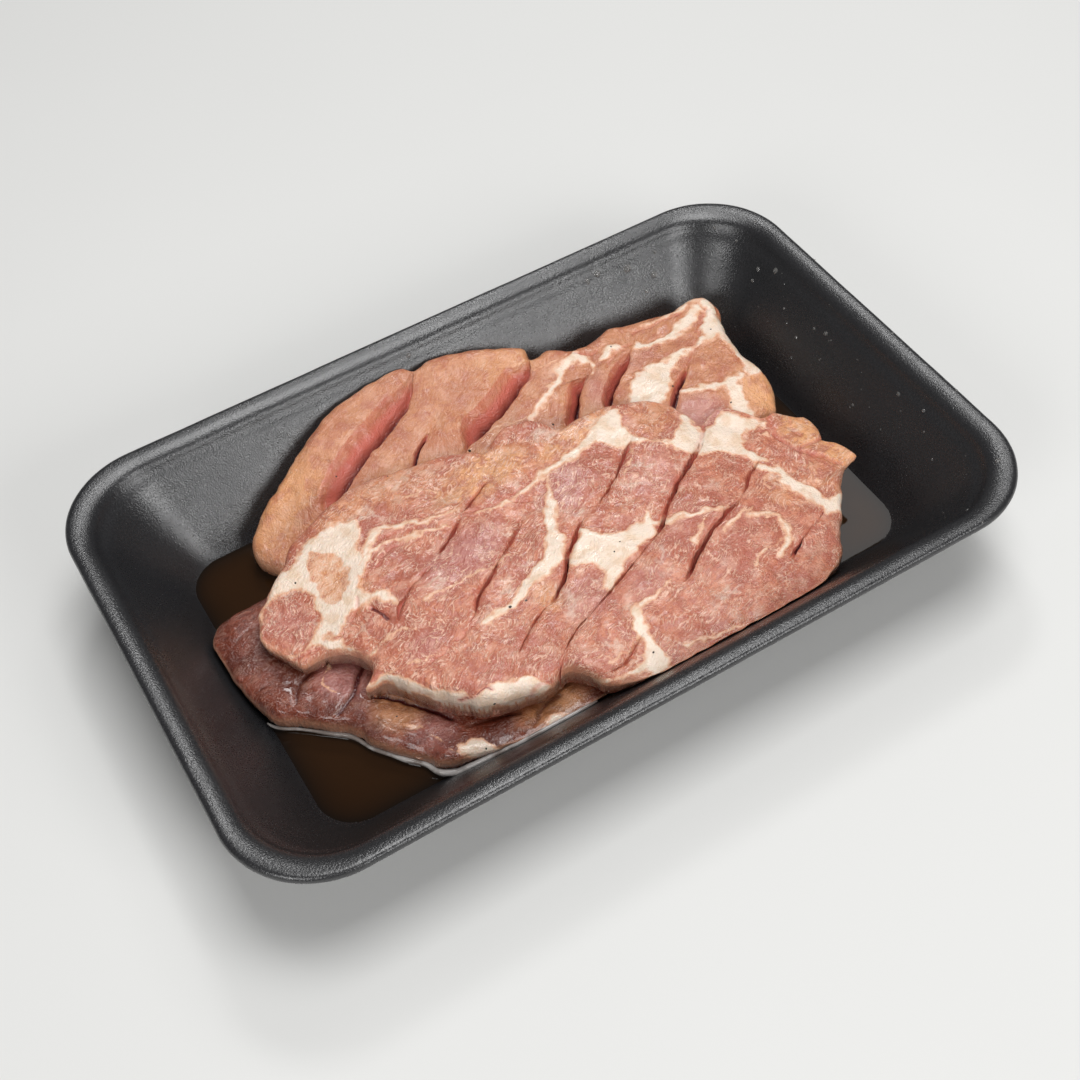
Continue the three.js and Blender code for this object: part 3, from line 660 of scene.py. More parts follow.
class SteakSheet:
    """The upper face of a steak as rows of points that follow its cuts."""

    def __init__(self, steak, step):
        self.steak = steak
        self.step = step
        self.rim = Run(steak["outline"], closed=True)
        self.rows = []
        rails = self.rails()
        for index, (rail, following) in enumerate(zip(rails, rails[1:])):
            self.add_strip(rail, following, index, len(rails) - 1)
        self.add_row(rails[-1], rails[-1], 0, np.zeros(len(self.columns)))

    def column_shares(self, length):
        edge = EDGE_STEPS / length
        count = max(8, int((1 - 2 * edge[-1]) * length / self.step))
        middle = np.linspace(edge[-1], 1 - edge[-1], count + 1)[1:-1]
        return np.concatenate([edge, middle, 1 - edge[::-1]])

    def rails(self):
        """Rows that the sheet is pinned to: the front arc, three for each cut, and the back arc."""
        steak, rim = self.steak, self.rim
        front, back = steak["front_arc"], steak["back_arc"]
        span = max(np.ptp(np.array(steak["outline"]), axis=0))
        self.columns = s = self.column_shares(span)
        found = [self.arc(front, 1)]
        for cut in steak["cuts"]:
            run = Run(cut["points"])
            left, right = (rim.share_of(cut["points"][end]) for end in (0, -1))
            opened = np.zeros(len(s))
            for start, end, share in cut["open"]:
                taper = (end - start) * 0.25
                part = share * smooth((s - start) / taper) * smooth((end - s) / taper)
                opened = np.maximum(opened, part)
            lean = cut["lean"]
            for offset, slide, depth in ((-lean, -1, 0), (0, 0, cut["depth"]), (1 - lean, 1, 0)):
                wide = offset * (cut["width"] * opened + SLIT) + (1 - opened) * slide * SLIT * 0.5
                shift = slide * SLIT / rim.length
                found.append({
                    "left": left - shift, "right": right + shift, "depth": depth * opened,
                    "points": run.at(s) + run.across(s) * wide[:, None], "open": opened,
                })
        found.append(self.arc(back, -1))
        return found

    def arc(self, ends, order):
        start, end = (self.rim.share_of(place) for place in ends)
        if order > 0 and end < start:
            end += 1
        if order < 0 and start < end:
            start += 1
        closed = np.zeros(len(self.columns))
        points = self.rim.at(mix(start, end, self.columns))
        return {"left": start, "right": end, "depth": closed, "points": points, "open": closed}

    def add_row(self, a, b, t, drop, cut=0.0):
        """A row between two rails, with its ends kept on the outline."""
        left_span = (a["left"] - b["left"]) % 1
        right_span = (b["right"] - a["right"]) % 1
        points = mix(a["points"], b["points"], t)
        left_end = self.rim.at(a["left"] - left_span * t)
        right_end = self.rim.at(a["right"] + right_span * t)
        s = self.columns[:, None]
        points = points + (left_end - points[0]) * (1 - s) ** 3 + (right_end - points[-1]) * s ** 3
        self.rows.append((points, drop, np.broadcast_to(cut, drop.shape)))

    def add_strip(self, a, b, index, last):
        """The rows from one rail to the next: meat between cuts, or one side of a cut."""
        gap = np.linalg.norm(b["points"] - a["points"], axis=1)
        if index % 3:
            falling = index % 3 == 1
            deep = b if falling else a
            for t in np.linspace(0, 1, WALL_ROWS + 1)[:-1]:
                share = (t if falling else 1 - t) ** WALL_POWER
                lip = (LIP + VALLEY) * deep["open"] + VALLEY * (1 - deep["open"])
                drop = lip + deep["depth"] * share
                self.add_row(a, b, t, drop, deep["open"] * share)
            return
        edge = EDGE_STEPS[1:] / gap.max()
        count = max(4, int(gap.max() / self.step))
        shares = np.linspace(0, 1, count + 1)[:-1]
        if index == 0:
            shares = np.concatenate([[0], edge, shares[shares > edge[-1]]])
        if index == last - 1:
            shares = np.concatenate([shares[shares < 1 - edge[-1]], 1 - edge[::-1]])
        cuts = bool(self.steak["cuts"])
        for t in shares:
            between = 0 < index < last - 1
            valley = VALLEY * cuts * ((2 * t - 1) ** 2 if between else 1)
            lips, flush = (near_cuts(a, b, t, gap, reach) for reach in (LIP_REACH, FLUSH_REACH))
            self.add_row(a, b, t, valley + LIP * lips, FLUSH * flush)

    def heights(self, x, y, drop, away):
        """Heights of the upper and the under face, which meet at the waist of the rounded edge."""
        low = self.steak["under"](x, y)
        high = np.maximum(self.steak["top"](x, y) - drop, low + LEAST_MEAT)
        middle = mix(low, high, self.steak["waist"])
        inward = np.minimum(away / self.steak["edge"], 1)
        full = (1 - (1 - inward) ** EDGE_POWER) ** (1 / EDGE_POWER)
        return mix(middle, high, full), mix(middle, low, full)


def near_cuts(a, b, t, gap, reach):
    """How strongly the open cuts on both sides act on a row between them, from 0 to 1."""
    first = a["open"] * np.exp(-t * gap / reach)
    second = b["open"] * np.exp(-(1 - t) * gap / reach)
    return np.minimum(first + second, 1)


def steak_relief(points, along, fat, crease, away, seed):
    """Lumps, fibres and raised fat that stand on a steak's smooth form, in millimetres."""
    stretched = along * (0.16, 1, 0) + points * 0.05
    muscle = 1 - ramp(fat, -0.3, 0.8)
    lumps = 0.4 * lattice_noise(points, 10, seed) + 0.26 * lattice_noise(points, 4.2, seed + 1)
    fibres = 0.05 * lattice_noise(stretched, 1.3, seed + 2) + 0.11 * lattice_noise(points, 1.9, seed + 3)
    fine = 0.05 * lattice_noise(points, 1.0, seed + 4)
    seam = 0.16 * ramp(fat, -0.4, 1.4) - 0.1 * np.exp(-((fat + 0.4) / 0.5) ** 2) - 0.8 * crease
    return (lumps + (fibres + fine) * (0.35 + 0.65 * muscle) + seam) * ramp(away, 0, 1.2)


def rim_distance(rim, places):
    """Distance of places in plan from an outline."""
    ring = rim.at(np.linspace(0, 1, RIM_MARKS + 1))[:-1]
    tree = kdtree.KDTree(len(ring))
    for i, (x, y) in enumerate(ring):
        tree.insert((x, y, 0), i)
    tree.balance()
    return np.array([tree.find((x, y, 0))[2] for x, y in places])


def length_along(plan):
    """How far along its rows and down its columns each point of a sheet is."""
    across_step = np.linalg.norm(np.diff(plan, axis=0), axis=2).mean(axis=1)
    along_step = np.linalg.norm(np.diff(plan, axis=1), axis=2).mean(axis=0)
    down = np.concatenate([[0], np.cumsum(across_step)])
    over = np.concatenate([[0], np.cumsum(along_step)])
    return np.dstack([*np.meshgrid(over, down), np.zeros(plan.shape[:2])]).reshape(-1, 3)


def border(rows, columns):
    """Numbers of a sheet's outer points, once round."""
    return np.concatenate([
        np.arange(columns), np.arange(1, rows) * columns + columns - 1,
        (rows - 1) * columns + np.arange(columns - 2, -1, -1), np.arange(rows - 2, 0, -1) * columns,
    ])


def sparse_points(away):
    """Numbers of the points under which the under face has one too: a wide grid, closer at the rim."""
    keep = np.zeros(away.shape, bool)
    keep[6:-6:9, 6:-6:9] = True
    for edge in (1, 3, 5):
        keep[[edge, -1 - edge], 2:-2:4] = True
        keep[2:-2:4, [edge, -1 - edge]] = True
    return np.flatnonzero(keep & (away > 0.05))


def under_faces(flat, rim_index, inner, first):
    """Faces of the under side between the outline and its own points, numbered on from the first."""
    corners = np.concatenate([flat[rim_index], flat[inner]])
    count = len(rim_index)
    loops = [(i, (i + 1) % count) for i in range(count)]
    found = geometry.delaunay_2d_cdt([Vector(p) for p in corners], loops, [], 1, 1e-6)
    number = np.concatenate([rim_index, first + np.arange(len(inner))])
    origin = [number[source[0]] if source else None for source in found[3]]
    faces = [[origin[i] for i in face[::-1]] for face in found[2]]
    return [face for face in faces if None not in face and len(set(face)) == len(face)]


def build_steak(name, steak, fat, step, seed):
    """A steak with its fat, cuts and tints kept on its points."""
    sheet = SteakSheet(steak, step)
    plan, drop, cut = (np.stack(values) for values in zip(*sheet.rows))
    rows, columns = drop.shape
    flat = plan.reshape(-1, 2)
    away = rim_distance(sheet.rim, flat).reshape(rows, columns)
    away[[0, -1], :] = 0
    away[:, [0, -1]] = 0
    high, low = sheet.heights(plan[..., 0], plan[..., 1], drop, away)
    grid = np.dstack([plan, high])
    along = length_along(plan)

    points = grid.reshape(-1, 3)
    wander = plan_noise(points, 5, seed + 7, seed + 8)
    wander += 0.6 * plan_noise(points, 1.8, seed + 9, seed + 5)
    depth = fat_depth(drawn_place(points) + 1.2 * wander, fat)
    crease = shaded_crease_strength(drawn_place(points) + 0.4 * wander, fat["shaded_creases"])
    relief = steak_relief(points, along, depth, crease, away.ravel(), seed)
    points = points + grid_normals(grid).reshape(-1, 3) * relief[:, None]

    inner = sparse_points(away)
    every = np.concatenate([points, np.column_stack([flat[inner], low.ravel()[inner]])])
    under = under_faces(flat, border(rows, columns), inner, rows * columns)
    quads = sheet_quads(np.arange(rows * columns).reshape(rows, columns))
    every[:, :2] += 0.35 * plan_noise(every * (1, 1, 0), 3.2, seed + 11, seed + 12)
    steak_object = mesh_object(name, every, quads.reshape(-1, 4).tolist() + under)
    mesh = steak_object.data
    extra = len(inner)
    places = drawn_place(every)
    kept = {"fat": (depth, -1), "cut": (cut, 0), "crease": (crease, 0), "rim": (np.exp(-away / RIM_FADE), 0)}
    for key, (values, below) in kept.items():
        store(mesh, key, np.concatenate([values.ravel(), np.full(extra, float(below))]))
    store(mesh, "violet", spot_strength(places, VIOLET_SPOTS))
    store(mesh, "amber", spot_strength(places, AMBER_SPOTS))
    store(mesh, "along", np.concatenate([along, np.column_stack([flat[inner], np.zeros(extra)])]))
    return steak_object


# Tray, with the number of points along its long sides, its short sides, its corners and its section

STRAIGHT_LONG = 150
STRAIGHT_SHORT = 80
CORNER_PARTS = 40
SECTION_POINTS = 150


def tray_ring(inset, z):
    """One level ring of the tray, anticlockwise, at a distance in from the outer rim."""
    radius = mix(TRAY_CORNER, FLOOR_CORNER, min(inset / FLOOR_CORNER_INSET, 1))
    half_length = TRAY_LENGTH / 2 - inset - radius
    half_width = TRAY_WIDTH / 2 - inset - radius

    def on_corner(number, quarters):
        side_x, side_y = ((1, 1), (-1, 1), (-1, -1), (1, -1))[number % 4]
        angle = quarters * math.pi / 2
        return side_x * half_length + radius * math.cos(angle), side_y * half_width + radius * math.sin(angle)

    ring = []
    for corner in range(4):
        straight = STRAIGHT_SHORT if corner % 2 else STRAIGHT_LONG
        for step in range(CORNER_PARTS):
            ring.append((*on_corner(corner, corner + step / CORNER_PARTS), z))
        start, end = on_corner(corner, corner + 1), on_corner(corner + 1, corner + 1)
        for step in range(straight):
            share = step / straight
            ring.append((mix(start[0], end[0], share), mix(start[1], end[1], share), z))
    return ring


def build_tray():
    """The foam as one skin, with its waves and with its damp places kept on its points."""
    section = Run(OUTER_SECTION[::-1] + PRESSED_SECTION)
    marks = section.at(np.linspace(0, 1, SECTION_POINTS))
    marks[0], marks[-1] = OUTER_SECTION[-1], PRESSED_SECTION[-1]
    rings = np.array([tray_ring(inset, z) for inset, z in marks])
    wrapped = np.concatenate([rings[:, -1:], rings, rings[:, :1]], axis=1)
    normals = grid_normals(wrapped)[:, 1:-1].reshape(-1, 3)
    points = rings.reshape(-1, 3)
    swell = 0.05 * lattice_noise(points, 9, 31) + 0.015 * lattice_noise(points, 2.4, 32)
    swell *= ramp(points[:, 2], 0, 2)
    points = points + normals * swell[:, None]
    index = np.arange(len(points)).reshape(len(rings), -1)
    caps = [index[0][::-1].tolist(), index[-1].tolist()]
    tray = mesh_object("foam_tray", points, tube_quads(index) + caps)
    right = ramp(points[:, 0], 88, 12)
    back = 0.4 * ramp(points[:, 1], 52, 10)
    store(tray.data, "damp", np.maximum(right, back) * (normals[:, 2] > 0.2))
    return tray


# Juice

def build_pool(name, front, level):
    """A pool of juice that climbs a little where it meets meat and foam."""
    x, y = np.meshgrid(*(np.arange(-reach, reach + POOL_PITCH, POOL_PITCH) for reach in POOL_REACH))
    places = np.column_stack([x.ravel(), y.ravel()])
    foam_ring = np.array(tray_ring(POOL_INSET, 0))[:, :2]
    to_foam = patch_depth(places, foam_ring[::12]).reshape(x.shape)
    to_meat = -patch_depth(places, BOTTOM_STEAK["outline"]).reshape(x.shape)
    to_meat = np.minimum(to_meat, 1.5 - patch_depth(places, BACK_STEAK["outline"]).reshape(x.shape))
    near = np.maximum(np.minimum(to_foam, to_meat), -POOL_OVERLAP)
    climb = mix(MEAT_CLIMB, FOAM_CLIMB, ramp(to_meat - to_foam, -1, 2))
    top = level + climb * np.exp(-(near + POOL_OVERLAP) / CLIMB_FADE)
    inside = (to_foam > -1) & (to_meat > -3.2)
    side = (x < -48) & (y < -4)
    inside &= side if front else ~side
    used = inside[:-1, :-1] & inside[1:, :-1] & inside[:-1, 1:] & inside[1:, 1:]
    size = x.size
    faces = sheet_quads(np.arange(size).reshape(x.shape))[used].tolist()
    edges = dict.fromkeys(pair for cell in faces for pair in zip(cell, cell[1:] + cell[:1]))
    walls = [[b, a, a + size, b + size] for a, b in edges if (b, a) not in edges]
    floor = [[i + size for i in cell[::-1]] for cell in faces]
    bottom = np.maximum(FLOOR_TOP + 0.35, wall_height(x, y) + 0.05)
    bottom = np.minimum(bottom, top - 0.3)
    points = np.concatenate([np.column_stack([places, face.ravel()]) for face in (top, bottom)])
    pool = mesh_object(name, points, faces + walls + floor)
    store(pool.data, "shallow", np.tile(np.exp(-np.maximum(to_foam, 0) / 4).ravel(), 2))
    clean_loose(pool.data)
    return pool


def build_waterline():
    """The raised edge of the juice, as a low bead along the front of the bottom steak."""
    rim = Run(BOTTOM_STEAK["outline"], closed=True)
    start, end = (rim.share_of(place) for place in WATERLINE_ENDS)
    path = rim.at(np.linspace(start, end, WATERLINE_POINTS))
    out = np.gradient(path, axis=0)
    out = np.stack([out[:, 1], -out[:, 0]], -1)
    out /= np.linalg.norm(out, axis=1, keepdims=True)
    out *= -1 if patch_depth(path[:1] + out[:1], BOTTOM_STEAK["outline"])[0] > 0 else 1
    wave = lattice_noise(np.column_stack([path, np.zeros(len(path))]), 6, 41)
    radius = (0.8 + 0.25 * wave) * np.sin(np.linspace(0, math.pi, len(path))) ** 0.3
    centre = path + out * 0.2
    level = np.maximum(JUICE_LEVEL + 1.9, wall_height(*(centre + out * 0.5).T) + 0.1)
    turns = np.linspace(0, 2 * math.pi, WATERLINE_SIDES + 1)[:-1]
    rings = [np.column_stack([centre + out * (radius * math.cos(a))[:, None], level + radius * math.sin(a)])
             for a in turns]
    points = np.stack(rings, 1).reshape(-1, 3)
    index = np.arange(len(points)).reshape(-1, WATERLINE_SIDES)
    caps = [index[0].tolist(), index[-1][::-1].tolist()]
    return mesh_object("waterline", points, tube_quads(index) + caps)


def clean_loose(mesh):
    """Takes away the points that no face uses."""
    used = np.zeros(len(mesh.vertices), bool)
    corners = np.zeros(len(mesh.loops), np.int32)
    mesh.loops.foreach_get("vertex_index", corners)
    used[corners] = True
    work = bmesh.new()
    work.from_mesh(mesh)
    work.verts.ensure_lookup_table()
    bmesh.ops.delete(work, geom=[v for v in work.verts if not used[v.index]], context="VERTS")
    work.to_mesh(mesh)
    work.free()


# Materials

class Wire:
    """An output of a node graph that maths can be written with."""

    def __init__(self, graph, socket):
        self.graph = graph
        self.socket = socket

    def maths(self, operation, first, second=0.0):
        return self.graph.node("ShaderNodeMath", {"operation": operation}, {0: first, 1: second})

    def __add__(self, other):
        return self.maths("ADD", self, other)

    def __sub__(self, other):
        return self.maths("SUBTRACT", self, other)

    def __rsub__(self, other):
        return self.maths("SUBTRACT", other, self)

    def __mul__(self, other):
        return self.maths("MULTIPLY", self, other)

    __radd__ = __add__
    __rmul__ = __mul__

    def most(self, other):
        return self.maths("MAXIMUM", self, other)

    def size(self):
        return self.maths("ABSOLUTE", self)

    def rise(self, start, end):
        """From 0 at the start to 1 at the end, softly."""
        return self.graph.node(
            "ShaderNodeMapRange", {"interpolation_type": "SMOOTHSTEP"},
            {"Value": self, "From Min": start, "From Max": end})


class Graph:
    """A node tree, of a material or of geometry, with one way to add a node."""

    def __init__(self, tree):
        self.tree = tree
        tree.nodes.clear()

    def node(self, kind, settings=None, inputs=None, output=0):
        """Adds a node, sets it and then its sockets, and gives one of its outputs."""
        made = self.tree.nodes.new(kind)
        for key, value in (settings or {}).items():
            setattr(made, key, value)
        for key, value in (inputs or {}).items():
            if isinstance(value, Wire):
                self.tree.links.new(value.socket, made.inputs[key])
            else:
                made.inputs[key].default_value = value
        return Wire(self, made.outputs[output]) if made.outputs else made


class Finish(Graph):
    """A material of one kind of surface."""

    def __init__(self, name):
        self.material = bpy.data.materials.new(name)
        self.material.use_nodes = True
        super().__init__(self.material.node_tree)
        spot = self.node("ShaderNodeTexCoord", output="Object")
        self.place = self.scaled(spot, 1 / MM)

    def scaled(self, vector, size):
        """A vector times a number, or times a number for each direction."""
        if isinstance(size, tuple):
            return self.node("ShaderNodeVectorMath", {"operation": "MULTIPLY"}, {0: vector, 1: size})
        return self.node("ShaderNodeVectorMath", {"operation": "SCALE"}, {0: vector, "Scale": size})

    def kept(self, name, output="Fac"):
        """A value that the mesh keeps on its points."""
        return self.node("ShaderNodeAttribute", {"attribute_name": name}, output=output)

    def noise(self, size, detail=2.0, where=None, rough=0.5, output="Fac"):
        """Noise from 0 to 1 with lumps of a size in millimetres."""
        return self.node("ShaderNodeTexNoise", None, {
            "Vector": where or self.place, "Scale": 1 / size, "Detail": detail, "Roughness": rough,
        }, output)

    def shaken(self, size, reach):
        """The place, pushed about by soft noise."""
        push = self.noise(size, output="Color")
        centred = self.node("ShaderNodeVectorMath", {"operation": "SUBTRACT"}, {0: push, 1: (0.5, 0.5, 0.5)})
        return self.node("ShaderNodeVectorMath", None, {0: self.place, 1: self.scaled(centred, reach * 2)})

    def cells(self, size, where, feature="DISTANCE_TO_EDGE"):
        """Distance from the borders of cells of a size, or from their middles, in millimetres."""
        far = self.node("ShaderNodeTexVoronoi", {"feature": feature}, {
            "Vector": where, "Scale": 1 / size}, "Distance")
        return far * size

    def blend(self, first, second, share):
        """A mix of two colours."""
        colours = [c if isinstance(c, Wire) else (*c, 1) for c in (first, second)]
        return self.node("ShaderNodeMix", {"data_type": "RGBA"}, {
            0: share, 6: colours[0], 7: colours[1]}, 2)

    def bump(self, height, reach):
        """A normal from heights, where a height of 1 stands that many millimetres proud."""
        return self.node("ShaderNodeBump", None, {"Height": height, "Distance": reach * MM, "Strength": 1.0})

    def surface(self, colour, roughness, normal=None, **fixed):
        """Ends the material in a principled surface."""
        inputs = {"Base Color": colour if isinstance(colour, Wire) else (*colour, 1), "Roughness": roughness}
        if normal:
            inputs["Normal"] = normal
        inputs.update({key.replace("_", " "): value for key, value in fixed.items()})
        shader = self.node("ShaderNodeBsdfPrincipled", None, inputs)
        self.node("ShaderNodeOutputMaterial", None, {"Surface": shader})
        return self.material


def foam_finish(looks):
    """Black foam with a close orange-peel skin and scattered pits, a little smoother where it is damp."""
    f = Finish("black_foam")
    broad = f.noise(24, 3)
    grain = f.noise(0.45, 2)
    pits = f.cells(2.3, f.shaken(3, 0.8), "F1").rise(0.1, 0.3).most(f.noise(7, 2).rise(0.6, 0.5))
    damp = f.noise(15, 4).rise(0.42, 0.7)
    colour = f.blend(looks.foam_colour, looks.foam_light, grain.rise(0.4, 0.7) * 0.5 + broad * 0.3)
    roughness = 0.22 + grain * 0.16 - damp * 0.04
    height = grain + pits * 0.35 + f.noise(1.3, 2) * 0.4
    normal = f.bump(height, looks.grain_height)
    return f.surface(colour, roughness, normal, IOR=1.5, Specular_IOR_Level=0.85)


def meat_finish(name, looks, muscle, second, dark, cut_colour, cut_and_crease_shade, marbling, wetness):
    """Wet raw pork: grainy muscles with pale fibres and painted glints, cream fat, redder flesh inside the
    cuts lightened to paint in light, and painted shade at the cut bottoms and creases.
    """
    f = Finish(name)
    along = f.kept("along", "Vector")
    bent = f.node("ShaderNodeVectorMath", None, {0: f.scaled(along, (0.15 + 0.4 * marbling, 1.1, 1.0)),
                                                1: f.scaled(f.noise(9, 1, output="Color"), 9.0)})
    fibres = f.noise(0.9, 3, where=bent, rough=0.55)
    # Thin ridges along the bent fibres: raised a little in the height, and painted as pale strokes that stand
    # for small glints
    glint_ridges = 1 - (f.noise(1.4, 1.2, where=bent) - 0.5).size().rise(0.012, 0.07)
    glint_ridges = glint_ridges * f.noise(5, 2).rise(0.4, 0.54) * marbling
    pale = 0.04 + 0.31 * marbling
    broad = f.noise(11, 3)
    patches = f.noise(4.2, 3, rough=0.6)
    small = f.noise(1.3, 4, rough=0.62)
    tiny = f.noise(0.5, 2)
    grain = fibres * 0.6 + small * 0.4
    threads = (1 - f.cells(6.5, f.shaken(4, 3.2)).rise(0.0, 0.9)) * f.noise(8, 2).rise(0.56, 0.7)
    flesh = f.blend(muscle, second, (broad.rise(0.44, 0.62) * 0.7).most((1 - grain.rise(0.34, 0.54)) * 0.8))
    flesh = f.blend(flesh, looks.violet_colour, f.kept("violet") * 0.75)
    flesh = f.blend(flesh, looks.amber_colour, f.kept("amber") * 0.85)
    flesh = f.blend(flesh, dark, (1 - patches.rise(0.36, 0.54)) * (0.35 + 0.35 * marbling))
    flesh = f.blend(flesh, dark, (1 - small.rise(0.32, 0.46)) * 0.6 * marbling)
    flesh = f.blend(flesh, looks.pale_flesh_and_glints, patches.rise(0.5, 0.66) * pale)
    # Painted highlight: pale strokes along the ridges stand for small glints on the wet muscle
    flesh = f.blend(flesh, looks.pale_flesh_and_glints, glint_ridges * (0.35 + 0.6 * small.rise(0.4, 0.56)))
    flesh = f.blend(flesh, looks.fat_colour, threads * marbling * 0.4)
    # Pale specks: partly small flecks of fat, partly painted glints on the wet muscle
    flesh = f.blend(flesh, looks.fat_colour, tiny.rise(0.6, 0.74) * marbling * 0.5)
    edge = f.kept("fat") + (f.noise(2.4, 5, rough=0.65) - 0.5) * 2.8
    fat_share = edge.rise(-0.2, 0.5)
    fat = f.blend(looks.fat_colour, looks.fat_shade, f.noise(4, 4).rise(0.46, 0.68) * 0.8)
    fat = f.blend(looks.peach_colour, fat, edge.rise(0.2, 1.3))
    colour = f.blend(flesh, fat, fat_share)
    colour = f.blend(colour, looks.peach_colour, f.kept("rim").rise(0.1, 0.8) * (1 - fat_share * 0.8) * 0.4)
    cut = f.kept("cut")
    crease = f.kept("crease")
    # Red flesh on the cut walls and lips, lightened to paint in the light the walls catch; it also tints the
    # creases, and on the bottom steak it is the creases' painted shade
    colour = f.blend(colour, cut_colour, (cut.rise(0.02, 0.45) * (1 - fat_share * 0.3)).most(crease * 0.8))
    # Painted shade: near-black red laid at the bottom of the cuts and in the deepest creases, where shade
    # falls
    colour = f.blend(colour, cut_and_crease_shade, cut.rise(0.5, 0.85).most(crease.rise(0.65, 1.1)))
    roughness = 0.1 - wetness * 0.07 + small * 0.12 + fat_share * 0.1
    height = grain * 0.6 + f.noise(2.8, 2) * wetness + glint_ridges * 0.14 * (1 - fat_share) + tiny * 0.25
    normal = f.bump(height, 1.0)
    return f.surface(colour, roughness, normal, IOR=1.45, Specular_IOR_Level=0.75, Subsurface_Weight=0.12,
                     Subsurface_Scale=0.002, Subsurface_Radius=(1.0, 0.4, 0.22), Coat_Weight=wetness,
                     Coat_Roughness=0.08)


def juice_finish(looks):
    """Thin brown meat juice, darker where it is thin and the foam shows through it."""
    f = Finish("meat_juice")
    shallow = f.kept("shallow")
    cloudy = f.noise(16, 3)
    colour = f.blend(looks.juice_colour, looks.juice_shallow, shallow.most(cloudy * 0.3))
    normal = f.bump(f.noise(22, 2), 0.12)
    return f.surface(colour, 0.05, normal, IOR=1.33, Specular_IOR_Level=0.35)


def waterline_highlight_finish():
    """The bead where juice climbs the meat, its pale grey colour a painted highlight."""
    f = Finish("milky_edge")
    # Painted highlight: the pale grey stands for the light line along the juice's edge
    colour = f.blend((0.24, 0.2, 0.18), (0.5, 0.47, 0.45), f.noise(6, 3).rise(0.4, 0.6))
    return f.surface(colour, 0.12, f.bump(f.noise(1.6, 2), 0.15), IOR=1.34, Coat_Weight=0.4)


def drop_finish():
    """Clear water."""
    f = Finish("clear_drops")
    roughness = f.noise(0.8, 2) * 0.06 + 0.01
    return f.surface((0.9, 0.88, 0.85), roughness, IOR=1.33, Transmission_Weight=0.9)


def pepper_finish():
    """Dull brown-black grains."""
    f = Finish("ground_pepper")
    colour = f.blend((0.012, 0.008, 0.006), (0.07, 0.035, 0.018), f.noise(0.3, 2))
    return f.surface(colour, 0.5, f.bump(f.noise(0.2, 2), 0.1))


def floor_finish(looks):
    """The pale, even floor of the stage."""
    f = Finish("pale_floor")
    colour = f.blend(looks.floor_colour, tuple(0.96 * v for v in looks.floor_colour), f.noise(180, 3))
    return f.surface(colour, 0.85)


# Things that repeat

class GeometryTree(Graph):
    """A tree of geometry nodes with named inputs."""

    def __init__(self, name, **inputs):
        self.group = bpy.data.node_groups.new(name, "GeometryNodeTree")
        super().__init__(self.group)
        face = self.group.interface
        face.new_socket("Surface", in_out="INPUT", socket_type="NodeSocketGeometry")
        for key, value in inputs.items():
            kind = "NodeSocketInt" if isinstance(value, int) else "NodeSocketFloat"
            face.new_socket(key, in_out="INPUT", socket_type=kind).default_value = value
        face.new_socket("Result", in_out="OUTPUT", socket_type="NodeSocketGeometry")
        entry = self.tree.nodes.new("NodeGroupInput")
        self.given = {socket.name: Wire(self, socket) for socket in entry.outputs if socket.name}

    def finish(self, instances, material):
        real = self.node("GeometryNodeRealizeInstances", None, {0: instances})
        painted = self.node("GeometryNodeSetMaterial", None, {"Geometry": real, "Material": material})
        self.node("NodeGroupOutput", None, {0: painted})
        return self.group


def apply_tree(base, group, name, **values):
    """Runs a tree on a mesh and keeps the result as a plain mesh of its own."""
    modifier = base.modifiers.new(name, "NODES")
    modifier.node_group = group
    for item in group.interface.items_tree:
        if item.in_out == "INPUT" and item.name in values:
            modifier[item.identifier] = values[item.name]
    ready = base.evaluated_get(bpy.context.evaluated_depsgraph_get())
    mesh = bpy.data.meshes.new_from_object(ready)
    mesh.name = name
    base.modifiers.remove(modifier)
    made = bpy.data.objects.new(name, mesh)
    bpy.context.scene.collection.objects.link(made)
    return made


def grain_tree(name, material, flatness, detail, lump):
    """Sits one small lump on every point, turned to the surface and at the point's own size."""
    t = GeometryTree(name, Flatness=flatness, Sink=0.15)
    ball = t.node("GeometryNodeMeshIcoSphere", None, {"Radius": 1.0, "Subdivisions": detail})
    place = t.node("GeometryNodeInputPosition")
    noise = t.node("ShaderNodeTexNoise", None, {"Vector": place, "Scale": 1.7}, "Color")
    centred = t.node("ShaderNodeVectorMath", {"operation": "SUBTRACT"}, {0: noise, 1: (0.5, 0.5, 0.5)})
    push = t.node("ShaderNodeVectorMath", {"operation": "SCALE"}, {0: centred, "Scale": lump})
    rough = t.node("GeometryNodeSetPosition", None, {"Geometry": ball, "Offset": push})
    squash = t.node("ShaderNodeCombineXYZ", None, {0: 1.0, 1: 0.86, 2: t.given["Flatness"]})
    down = t.node("ShaderNodeCombineXYZ", None, {2: 0 - t.given["Sink"]})
    flat = t.node("GeometryNodeTransform", None, {"Geometry": rough, "Scale": squash, "Translation": down})
    size = t.node("GeometryNodeInputNamedAttribute", {"data_type": "FLOAT"}, {"Name": "size"})
    facing = t.node("GeometryNodeInputNamedAttribute", {"data_type": "FLOAT_VECTOR"}, {"Name": "facing"})
    turn = t.node("FunctionNodeAlignRotationToVector", {"axis": "Z"}, {"Vector": facing})
    spin = t.node("FunctionNodeRandomValue", {"data_type": "FLOAT"}, {2: 0.0, 3: 6.28, "Seed": 5}, 1)
    about = t.node("ShaderNodeCombineXYZ", None, {2: spin})
    turned = t.node("FunctionNodeRotateRotation", {"rotation_space": "LOCAL"}, {0: turn, 1: about})
    placed = t.node("GeometryNodeInstanceOnPoints", None, {
        "Points": t.given["Surface"], "Instance": flat, "Rotation": turned, "Scale": size})
    return t.finish(placed, material)


